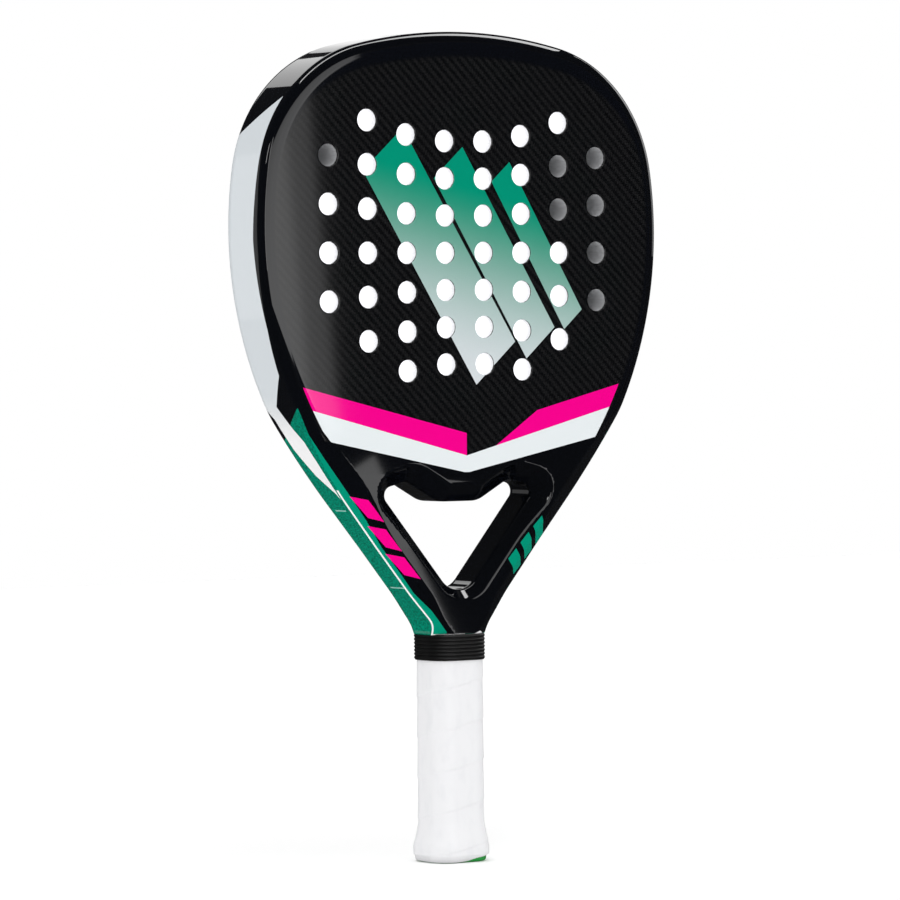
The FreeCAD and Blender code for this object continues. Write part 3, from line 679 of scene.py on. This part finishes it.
def polyline(field, points):
    """A broken line through (field, value) points, level beyond its ends."""
    total = points[0][1]
    for (a, low), (b, high) in zip(points, points[1:]):
        total = total + slope_up(field, a, b, high - low)
    return total


def convex(a, b, points):
    """Inside a convex polygon in the plane of fields a and b, walked anticlockwise."""
    inside = None
    for (ax, ay), (bx, by) in zip(points, points[1:] + points[:1]):
        length = math.hypot(bx - ax, by - ay)
        away = a * (-(by - ay) / length) + b * ((bx - ax) / length)
        edge = away > (-(by - ay) * ax + (bx - ax) * ay) / length
        inside = edge if inside is None else inside & edge
    return inside


def union(masks):
    """1 where any of the masks is 1."""
    return functools.reduce(operator.or_, masks)


class Paint:
    """A Principled material with fields of place, and colours laid over each other by mask."""

    def __init__(self, name, color, rough, coat=0.0, coat_rough=0.03, metallic=0.0):
        self.material = bpy.data.materials.new(name)
        self.material.use_nodes = True
        self.tree = Field.tree = self.material.node_tree
        self.shader = self.tree.nodes["Principled BSDF"]
        for socket, value in (("Base Color", (*color, 1)), ("Roughness", rough),
                              ("Coat Weight", coat), ("Coat Roughness", coat_rough),
                              ("Metallic", metallic)):
            self.shader.inputs[socket].default_value = value
        place = self.tree.nodes.new("ShaderNodeTexCoord").outputs["Object"]
        scale = self.tree.nodes.new("ShaderNodeVectorMath")
        scale.operation = "SCALE"
        scale.inputs["Scale"].default_value = 1 / MM
        self.tree.links.new(place, scale.inputs[0])
        self.mm = scale.outputs[0]
        split = self.tree.nodes.new("ShaderNodeSeparateXYZ")
        self.tree.links.new(self.mm, split.inputs[0])
        self.x, self.y, self.z = (Field(o) for o in split.outputs)
        self.color = color

    def noise(self, scale, detail=3.0, stretch=(1, 1, 1), rough=0.5):
        """Noise with features about 1 / scale millimetres across."""
        mapping = self.tree.nodes.new("ShaderNodeMapping")
        mapping.inputs["Scale"].default_value = [scale * s for s in stretch]
        self.tree.links.new(self.mm, mapping.inputs["Vector"])
        node = self.tree.nodes.new("ShaderNodeTexNoise")
        node.inputs["Scale"].default_value = 1.0
        node.inputs["Detail"].default_value = detail
        node.inputs["Roughness"].default_value = rough
        self.tree.links.new(mapping.outputs[0], node.inputs["Vector"])
        return Field(node.outputs["Fac"])

    def attribute(self, name):
        """A value that the mesh's vertices hold."""
        node = self.tree.nodes.new("ShaderNodeAttribute")
        node.attribute_name = name
        return Field(node.outputs["Fac"])

    def blend(self, factor, low, high):
        """A colour between two, as a socket; each is a colour or a socket of colour."""
        node = self.tree.nodes.new("ShaderNodeMix")
        node.data_type = "RGBA"
        self.tree.links.new(factor.socket, node.inputs["Factor"])
        for slot, color in ((node.inputs[6], low), (node.inputs[7], high)):
            if isinstance(color, tuple):
                slot.default_value = (*color, 1)
            else:
                self.tree.links.new(color, slot)
        return node.outputs[2]

    def lay(self, mask, color):
        """Lays a colour over what is there, where mask is 1."""
        self.color = self.blend(mask, self.color, color)

    def put(self, socket, field):
        """Drives an input of the shader by a field."""
        self.tree.links.new(field.socket, self.shader.inputs[socket])

    def bump(self, height, distance, strength=1.0):
        """Fine relief from a field of height; distance is its full height in millimetres."""
        node = self.tree.nodes.new("ShaderNodeBump")
        node.inputs["Strength"].default_value = strength
        node.inputs["Distance"].default_value = distance * MM
        self.tree.links.new(height.socket, node.inputs["Height"])
        self.tree.links.new(node.outputs[0], self.shader.inputs["Normal"])

    def done(self):
        """The finished material."""
        if not isinstance(self.color, tuple):
            self.tree.links.new(self.color, self.shader.inputs["Base Color"])
        return self.material


def srgb(*channels):
    """Display colour, 0 to 255, as linear values."""
    return tuple(c / 255 / 12.92 if c <= 10 else ((c / 255 + 0.055) / 1.055) ** 2.4
                 for c in channels)


BLACK, NAVY = srgb(6, 7, 9), srgb(7, 9, 15)
PINK, WHITE, SILVER = srgb(255, 0, 146), srgb(240, 246, 248), srgb(222, 228, 232)
GREEN, DEEP_GREEN, PALE_GREEN = srgb(0, 150, 120), srgb(0, 98, 78), srgb(150, 200, 190)
PURE_WHITE, FIBRE, HOLE_WALL = (1.0, 1.0, 1.0), srgb(34, 34, 35), srgb(16, 16, 18)
# The last foam grey is painted shade, for the holes at the far sides
FOAM_WHITE, FOAM_CELL, FOAM_PAINTED_SHADE = srgb(250, 250, 251), srgb(214, 216, 218), srgb(150, 152, 155)
# The last tape grey is painted shade at the tape's foot
TAPE_WHITE, TAPE_FOLD, TAPE_FOOT_SHADE = srgb(247, 247, 249), srgb(214, 216, 222), srgb(150, 150, 152)


# Places of the paint, in millimetres. A stripe's top is its height at the middle and its slope
TOW = 1.35
WHITE_TOP, PINK_TOP, STRIPE_MARGIN, STRIPE_LEAN = (223.4, 0.261), (235.7, 0.249), 6.8, 2.5
STRIPE_GAP = [(0.0, 215.2), (60.0, 256.2), (0.0, 262.0)]
WOVEN_MARGIN, CROWN_MARGIN, CROWN_LOW, CROWN_HIGH = 7.5, 6.0, 380.0, 452.0
# Left side, foot height, top height and width of each blade
BLADES = ((-66.0, 262.0, 402.0, 26.0), (-20.0, 276.0, 392.0, 19.0), (18.0, 292.0, 384.0, 12.0))
BLADE_LEAN, BLADE_CUT, BLADE_FADE = 0.52, 0.9, (262.0, 372.0)
# Facet width; the span across the edge's round and the top height of a painted highlight, a white
# line down the left arm's front edge; and where the front's bars start
FACET_MM, EDGE_HIGHLIGHT_MM, EDGE_HIGHLIGHT_TOP_Z, FRONT_ONLY_Y = 0.45, (0.02, 0.55), 206.0, -9.0
# Height, distance in front of the middle and half-length of the two fine marks on the green
TICKS, TICK_HALF = ((194.5, 0.0, 5.1), (151.5, 1.7, 6.8)), 0.35
# Slanting ends on the outer wall: height, its fall per millimetre of y, and that y's offset
BAND_TOP, GREEN_TOP = (417.9, 0.748, 11.0), (248.4, 0.62, 12.1)
BAND_FOOT_Z, BAND_FADE, GREEN_TOP_Z = 198.0, (230.0, 260.0), 248.0
PINK_BAR = [(-72.6, 202.6), (-61.1, 190.7), (-52.7, 188.3), (-63.3, 200.5)]
PINK_MOVES = ((0.0, 0.0), (12.1, -16.3), (24.2, -31.8))
DASH_STARTS, DASH_LEN = (0.04, 0.38, 0.72), 0.22
# Each side of the dashes' band: its start and its run
DASH_OUTER, DASH_INNER = ((34.4, 156.0), (23.8, 23.6)), ((28.4, 164.8), (24.5, 25.8))


# Materials
def twill(paint):
    """2 by 2 twill of narrow tows: 1 where the upright tow is on top, and each tow's round,
    lightest at its middle as painted shading.
    """
    u, v = paint.x / TOW, paint.z / TOW
    upright = (u.floor() + v.floor()).mod(4.0) < 1.5
    across_u = abs(u.fract() - 0.5)
    across_v = abs(v.fract() - 0.5)
    crown = (1.0 - across_u * 2.0) * upright + (1.0 - across_v * 2.0) * upright.no()
    return upright, crown


def stripe_masks(paint):
    """White and pink bands of the vee, as fields of height above it."""
    side = abs(paint.x)
    rise = paint.z - side * VEE_SLOPE - VEE_Z
    (white_z, white_slope), (pink_z, pink_slope) = WHITE_TOP, PINK_TOP
    white = (rise > 0.0) & ((paint.z - side * white_slope) < white_z)
    pink = ((paint.z - side * white_slope) > white_z) & ((paint.z - side * pink_slope) < pink_z)
    return white, pink


def face_material(name, front):
    """Lacquered carbon weave with the stripes of the vee, and the blades on the front."""
    paint = Paint(name, BLACK, 0.42, coat=1.0, coat_rough=0.045)
    paint.shader.inputs["Specular IOR Level"].default_value = 0.0
    upright, crown = twill(paint)
    rim = paint.attribute("rim_mm")
    margin = WOVEN_MARGIN + step_up(paint.z, CROWN_LOW, CROWN_HIGH) * CROWN_MARGIN
    woven = step_up(rim - margin, -1.5, 2.0)
    fibre = paint.noise(1.3, 2.0, (0.3, 1, 2.2))
    patch = paint.noise(0.55, 3.0)
    # The weave's tone, partly the carbon's own and partly painted shading that lightens each tow
    # along its middle
    weave = upright * 0.5 + crown * 0.3 - 0.12
    shade = (weave + (fibre - 0.5) * 0.9 + (patch - 0.5) * 0.5) * woven
    paint.lay(shade.clamped(), FIBRE)
    paint.lay(woven.no(), NAVY)
    if front:
        blades(paint)
    white, pink = stripe_masks(paint)
    inner = (rim - step_up(paint.x, -60.0, 60.0) * STRIPE_LEAN) > STRIPE_MARGIN
    gap = convex(paint.x, paint.z, STRIPE_GAP)
    paint.lay(white & inner, WHITE)
    paint.lay(pink & inner & gap.no(), PINK)
    paint.lay(abs(paint.y) < HEAD_HALF_T - 0.3, HOLE_WALL)
    paint.bump(crown * woven, 0.05, 0.3)
    paint.put("Roughness", 0.36 + paint.noise(0.08, 2.0) * 0.1)
    return paint.done()


def blades(paint):
    """Three plain slanting blades, green at the top and silver at the foot."""
    fade = step_up(paint.z + paint.x * 0.25, *BLADE_FADE)
    tone = paint.blend(fade, SILVER, GREEN)
    for left, foot, top, wide in BLADES:
        run, cut = (top - foot) * BLADE_LEAN, wide * BLADE_CUT
        points = [(left + run, foot), (left + run + wide, foot + cut), (left + wide, top),
                  (left, top - cut)]
        paint.lay(convex(paint.x, paint.z, points), tone)


# Colour borders on the racket's left side, as (height, place across) in millimetres. The band's
# run through the thickness, and the green's across the front
BAND_FRONT = [(195.7, -7.8), (205.1, -8.6), (220.5, -8.2), (232.5, -6.6), (240.1, -1.8),
              (251.5, 4.0), (268.3, -10.7), (293.1, -12.4), (341.3, -9.7), (362.6, -10.8),
              (389.3, -11.7)]
BAND_REAR = [(198.0, -9.0), (204.0, -7.2), (213.8, 1.3), (228.0, 8.1), (244.4, 11.6), (251.5, 17.0)]
GREEN_FRONT = [(126.8, -10.9), (129.6, -13.2), (139.2, -20.6), (148.8, -30.3), (158.0, -37.5),
               (174.0, -50.7), (189.6, -61.9), (202.9, -72.5), (223.8, -89.5), (247.9, -108.5)]


def frame_material():
    """Black lacquer, with a silver band, a green foot and plain bars; the outer wall is a facet."""
    paint = Paint("frame_gloss", BLACK, 0.3, coat=1.0, coat_rough=0.03)
    paint.shader.inputs["Specular IOR Level"].default_value = 0.0
    x, y, z = paint.x, paint.y, paint.z
    paint.lay(paint.noise(0.02, 2.0), NAVY)
    rim = paint.attribute("rim_mm")
    facet = rim < FACET_MM

    def under(height, fall, offset):
        return (z + (y + offset) * fall) < height

    band = (facet & ((y - polyline(z, BAND_FRONT)) > 0.0) & ((y - polyline(z, BAND_REAR)) < 0.0)
            & under(*BAND_TOP) & (z > BAND_FOOT_Z))
    low = facet & under(*GREEN_TOP)
    strip_front = (facet.no() & (x < 0.0) & ((x - polyline(z, GREEN_FRONT)) < 0.0)
                   & (z < GREEN_TOP_Z))
    mottle = step_up(paint.noise(0.9, 4.0, (1, 1, 1), 0.7), 0.35, 0.65)
    paint.lay(low, paint.blend(mottle, DEEP_GREEN, GREEN))
    paint.lay(strip_front, GREEN)
    tick = union((abs(z - at) < TICK_HALF) & (abs(y + ahead) < half) for at, ahead, half in TICKS)
    paint.lay(tick & low, PALE_GREEN)
    paint.lay(band, paint.blend(step_up(z, *BAND_FADE), PURE_WHITE, SILVER))
    # Painted highlight: a pure white line on the round of the left arm's front edge
    line = (rim > EDGE_HIGHLIGHT_MM[0]) & (rim < EDGE_HIGHLIGHT_MM[1]) & (y < 0.0)
    paint.lay(line & (x < 0.0) & (z < EDGE_HIGHLIGHT_TOP_Z), PURE_WHITE)
    paint.lay(pink_bars(paint) & (y < FRONT_ONLY_Y), PINK)
    paint.lay(dashes(paint) & (y < FRONT_ONLY_Y), GREEN)
    paint.put("Roughness", 0.26 + paint.noise(0.06, 2.0) * 0.08)
    return paint.done()


def pink_bars(paint):
    """Three like bars down the left arm."""
    return union(convex(paint.x, paint.z, [(a + dx, b + dz) for a, b in PINK_BAR])
                 for dx, dz in PINK_MOVES)


def dashes(paint):
    """Plain bars across the right arm."""
    def place(side, share):
        (x, z), (run_x, run_z) = side
        return x + run_x * share, z + run_z * share

    def corners(low, high):
        return [place(DASH_OUTER, low), place(DASH_OUTER, high), place(DASH_INNER, high),
                place(DASH_INNER, low)]

    return union(convex(paint.x, paint.z, corners(low, low + DASH_LEN)) for low in DASH_STARTS)


def foam_material(name, color, cell, bump=0.15):
    """Plain foam with cells of this size in millimetres."""
    paint = Paint(name, color, 0.75)
    cells = paint.noise(1 / cell, 4.0, (1, 1, 1), 0.6)
    paint.lay(step_up(cells, 0.35, 0.75) * 0.25, tuple(c * 0.8 for c in color))
    paint.bump(cells, bump)
    return paint.done()


def core_material():
    """White foam with a painted glow, fading near the face, and painted shade in holes at the
    sides.
    """
    side_x, top_right, top_left = (74.0, 78.0), (50.0, 346.0, 394.0), (-75.0, 372.0)
    depth_mm, glow = (0.5, 11.0), 0.3
    paint = Paint("core_foam", FOAM_WHITE, 0.75)
    x, y, z = paint.x, paint.y, paint.z
    # Painted shade: holes at the far sides and at two top corners are greyed
    shade = (step_up(x, *side_x) | (x > top_right[0]) & (z > top_right[1]) & (z < top_right[2])
             | (x < top_left[0]) & (z > top_left[1]))
    cells = paint.noise(2.0, 4.0, (1, 1, 1), 0.6)
    paint.lay(step_up(cells, 0.4, 0.75) * 0.15, FOAM_CELL)
    paint.lay(shade * 0.6, FOAM_PAINTED_SHADE)
    # Painted light: the foam glows, more strongly deeper in from the face, and not where shade is
    # painted
    paint.shader.inputs["Emission Color"].default_value = (0.97, 0.97, 1.0, 1)
    deep = step_up(HEAD_HALF_T - abs(y), *depth_mm)
    paint.put("Emission Strength", shade.no() * deep * glow)
    paint.bump(cells, 0.1)
    return paint.done()


def rubber_material(name, color, rough=0.55):
    """Matt rubber with a fine grain."""
    paint = Paint(name, color, rough)
    grain = paint.noise(2.2, 4.0)
    paint.lay(grain * 0.5, tuple(min(1.0, c * 1.7 + 0.004) for c in color))
    paint.bump(grain, 0.06)
    paint.put("Roughness", rough - 0.08 + grain * 0.16)
    return paint.done()


def tape_material():
    """White polyurethane tape: faint pores, faint creases and painted shade at its foot."""
    foot_shade_mm = 4.5
    paint = Paint("over_wrap", TAPE_WHITE, 0.48)
    pores = paint.noise(2.6, 2.0)
    folds = paint.noise(0.12, 3.0, (1.6, 1.6, 0.7))
    paint.lay(step_up(folds, 0.45, 0.8) * 0.16, TAPE_FOLD)
    # Painted shade: the tape greys towards its foot
    paint.lay(step_up(0.0 - paint.z, -foot_shade_mm, 0.0) * 0.4, TAPE_FOOT_SHADE)
    paint.bump(pores * 0.35 + folds, 0.35, 0.5)
    paint.put("Roughness", 0.42 + pores * 0.14)
    return paint.done()


def plastic_material(name, color, rough=0.4):
    """Moulded plastic with a faint grain."""
    paint = Paint(name, color, rough)
    grain = paint.noise(1.4, 3.0)
    paint.lay(grain * 0.35, tuple(c * 0.7 for c in color))
    paint.bump(grain, 0.03)
    paint.put("Roughness", rough - 0.05 + grain * 0.1)
    return paint.done()


def steel_material():
    """Drawn steel wire."""
    paint = Paint("staple_steel", srgb(190, 190, 194), 0.3, metallic=1.0)
    lines = paint.noise(3.0, 3.0, (0.1, 1, 1))
    paint.bump(lines, 0.02)
    paint.put("Roughness", 0.25 + lines * 0.2)
    return paint.done()


def dress(obj, material):
    """Gives an object one material."""
    obj.data.materials.clear()
    obj.data.materials.append(material)


def add_piece(obj, material, slot, *nodes):
    """A visible piece on the one body, standing for the CAD nodes named."""
    dress(obj, material)
    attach(obj, "root")
    if nodes:
        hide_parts(*nodes)


# Pieces
add_piece(frame_shell(), frame_material(), "frame_gloss", "frame_tube", "throat_bridge")
add_piece(face_skin("front_face", -1), face_material("face_weave", True), "face_weave",
          "face_skin_front")
add_piece(face_skin("rear_face", 1), face_material("face_weave_rear", False), "face_weave",
          "face_skin_rear")
add_piece(overgrip(), tape_material(), "over_wrap", "over_grip")
add_piece(collar(), rubber_material("collar_rubber", srgb(6, 6, 7), 0.5), "collar_rubber",
          "grip_collar")
add_piece(cap(), plastic_material("cap_plastic", srgb(40, 170, 70)), "cap_plastic", "butt_cap")

inner_foam = foam_material("handle_foam", srgb(214, 200, 160), 0.8)
dress(frame["nodes"]["eva_core"], core_material())
for node in ("bridge_foam", "handle_core", "handle_half_front", "handle_half_rear",
             "tube_end_plugs"):
    dress(frame["nodes"][node], inner_foam)
dress(frame["nodes"]["butt_plate"], plastic_material("plate_plastic", srgb(30, 30, 33)))
dress(frame["nodes"]["cord_bush"], rubber_material("bush_rubber", srgb(24, 24, 26)))
dress(frame["nodes"]["cap_staples"], steel_material())
dress(frame["nodes"]["base_grip"], rubber_material("base_wrap", srgb(34, 34, 36)))
dress(frame["nodes"]["finishing_tape"], plastic_material("tape_film", srgb(26, 26, 28), 0.35))


# Floor, world, lights and camera. The world's strength: low and high in the sky, in gloss, and
# as the backdrop that the camera sees
SKY_LOW, SKY_HIGH, IN_GLOSS, BACKDROP = 0.3, 1.27, 0.03, 1.0


def floor():
    """A white floor that gloss doesn't reflect."""
    side, glow = 3.0, 0.1
    obj = new_object("studio_floor", [(-side, -side, 0), (side, -side, 0), (side, side, 0),
                                      (-side, side, 0)], [(0, 1, 2, 3)], smooth=False)
    paint = Paint("floor_white", srgb(250, 250, 250), 0.8)
    paint.shader.inputs["Emission Color"].default_value = (1, 1, 1, 1)
    paint.shader.inputs["Emission Strength"].default_value = glow
    paint.put("Roughness", 0.75 + paint.noise(0.05, 2.0) * 0.1)
    dress(obj, paint.done())
    obj.visible_glossy = False


def world():
    """White to the camera, a soft sky on dull surfaces and a dark studio in gloss."""
    w = bpy.data.worlds.new("studio")
    bpy.context.scene.world = w
    w.use_nodes = True
    tree = w.node_tree
    tree.nodes.clear()
    path = tree.nodes.new("ShaderNodeLightPath")
    out = tree.nodes.new("ShaderNodeOutputWorld")
    place = tree.nodes.new("ShaderNodeTexCoord")
    split = tree.nodes.new("ShaderNodeSeparateXYZ")
    tree.links.new(place.outputs["Generated"], split.inputs[0])
    sky = tree.nodes.new("ShaderNodeMapRange")
    tree.links.new(split.outputs["Z"], sky.inputs["Value"])
    for socket, value in (("From Max", 0.8), ("To Min", SKY_LOW), ("To Max", SKY_HIGH)):
        sky.inputs[socket].default_value = value
    lights = [tree.nodes.new("ShaderNodeBackground") for _ in range(3)]
    for light, strength in zip(lights, (1.0, IN_GLOSS, BACKDROP)):
        light.inputs["Color"].default_value = (1, 1, 1, 1)
        light.inputs["Strength"].default_value = strength
    shown = lights[0]
    tree.links.new(sky.outputs[0], shown.inputs["Strength"])
    for light, ray in zip(lights[1:], ("Is Glossy Ray", "Is Camera Ray")):
        node = tree.nodes.new("ShaderNodeMixShader")
        for slot, source in enumerate((path.outputs[ray], shown.outputs[0], light.outputs[0])):
            tree.links.new(source, node.inputs[slot])
        shown = node
    tree.links.new(shown.outputs[0], out.inputs["Surface"])


def panel(name, centre, aim, size, glow, up=(0, 0, 1), low=1.0):
    """A soft box that faces aim. glow is its brightness at the top, and low the foot's share of it.

    Gloss reflects them all, and only key_box lights dull surfaces.
    """
    light = bpy.data.lights.new(name, "AREA")
    light.shape = "RECTANGLE"
    light.size, light.size_y = size
    light.energy = glow * math.pi * size[0] * size[1]
    if low != 1.0:
        light.use_nodes = True
        tree = light.node_tree
        place = tree.nodes.new("ShaderNodeNewGeometry")
        split = tree.nodes.new("ShaderNodeSeparateXYZ")
        ramp = tree.nodes.new("ShaderNodeMapRange")
        ramp.inputs["To Min"].default_value = low
        ramp.inputs["To Max"].default_value = 1.0
        tree.links.new(place.outputs["Parametric"], split.inputs[0])
        tree.links.new(split.outputs["Y"], ramp.inputs["Value"])
        tree.links.new(ramp.outputs[0], tree.nodes["Emission"].inputs["Strength"])
    obj = bpy.data.objects.new(name, light)
    obj.visible_diffuse = name == "key_box"
    bpy.context.scene.collection.objects.link(obj)
    back = (Vector(centre) - Vector(aim)).normalized()
    right = Vector(up).cross(back).normalized()
    top = back.cross(right)
    obj.matrix_world = Matrix.Translation(centre) @ Matrix((right, top, back)).transposed().to_4x4()


BOX_Y = -1.34  # place of the soft boxes that the face reflects


def edge_panel(name, low, high, width, glow, foot=1.0):
    """A soft box square to the face, whose right edge runs from low to high, both (x, z)."""
    (x0, z0), (x1, z1) = low, high
    length = math.hypot(x1 - x0, z1 - z0)
    up = Vector(((x1 - x0) / length, 0, (z1 - z0) / length))
    right = Vector((up.z, 0, -up.x))
    centre = Vector(((x0 + x1) / 2, BOX_Y, (z0 + z1) / 2)) - right * width / 2
    panel(name, centre, centre + Vector((0, 1, 0)), (width, length), glow, up, foot)


def camera():
    """The photograph's view, found by fitting the hole centres and the outline."""
    turn, pitch, roll = math.radians(33.96), math.radians(1.26), math.radians(-0.57)
    distance, shift_x, aim_z = 3.0276, 0.00138, 0.22612
    focal_px, frame_px, sensor = 5505.6, 900.0, 36.0
    back = Vector((-math.sin(turn) * math.cos(pitch), -math.cos(turn) * math.cos(pitch),
                   math.sin(pitch)))
    right = Vector((math.cos(turn), -math.sin(turn), 0))
    up = back.cross(right)
    rolled = right * math.cos(roll) + up * math.sin(roll)
    rolled_up = up * math.cos(roll) - right * math.sin(roll)
    cam = bpy.data.cameras.new("camera")
    cam.sensor_width = sensor
    cam.lens = focal_px / frame_px * sensor
    cam.clip_end = 50
    obj = bpy.data.objects.new("camera", cam)
    bpy.context.scene.collection.objects.link(obj)
    place = right * shift_x + Vector((0, 0, aim_z)) + back * distance
    obj.matrix_world = (Matrix.Translation(place)
                        @ Matrix((rolled, rolled_up, back)).transposed().to_4x4())
    bpy.context.scene.camera = obj


floor()
world()
camera()
# Upright boxes side by side in front, as (place of the right edge, width, brightness)
FRONT_BOXES = ((0.770, 0.026, 0.7), (0.744, 1.376, 1.35), (-0.632, 0.05, 3.6))
FRONT_LOW_Z, FRONT_HIGH_Z, FRONT_LEAN, FRONT_FOOT = 0.205, 0.985, 0.079, 1.7
for number, (right, wide, glow) in enumerate(FRONT_BOXES):
    edge_panel(f"front_box_{number}", (right, FRONT_LOW_Z), (right - FRONT_LEAN, FRONT_HIGH_Z),
               wide, glow, FRONT_FOOT)
edge_panel("arm_box", (0.905, 0.0), (0.803, 0.189), width=0.25, glow=2.0)
edge_panel("arm_low_box", (0.875, -0.5), (0.875, -0.002), width=0.3, glow=2.0)
# Name, centre, aim, size and brightness, and where they are not the usual, up and low
for box in (("key_box", (-1.9, -2.2, 1.3), (0.0, 0.0, 0.25), (0.5, 0.5), 8.0),
            ("top_box", (0.07, -0.1, 0.7), (0.07, -0.1, 0.0), (0.54, 0.09), 10.0, (0, 1, 0)),
            ("crown_box", (2.2, 0.1, 1.2), (0.0, 0.1, 1.2), (0.5, 1.8), 5.0, (0, 0, 1), 0.15),
            ("rear_box", (0.4, 1.7, 1.52), (0.0, 0.0, 0.35), (1.0, 0.45), 1.8),
            ("rear_low_box", (0.93, 1.7, 0.9), (0.0, 0.0, 0.35), (0.35, 0.6), 1.2),
            ("side_box", (-1.6, 2.0, 0.4), (0.0, 0.0, 0.3), (0.7, 1.4), 0.5),
            ("right_box", (2.6, 1.75, 0.35), (0.0, 0.0, 0.3), (0.5, 1.4), 0.6)):
    panel(*box)
bpy.context.scene.view_settings.view_transform = "Standard"
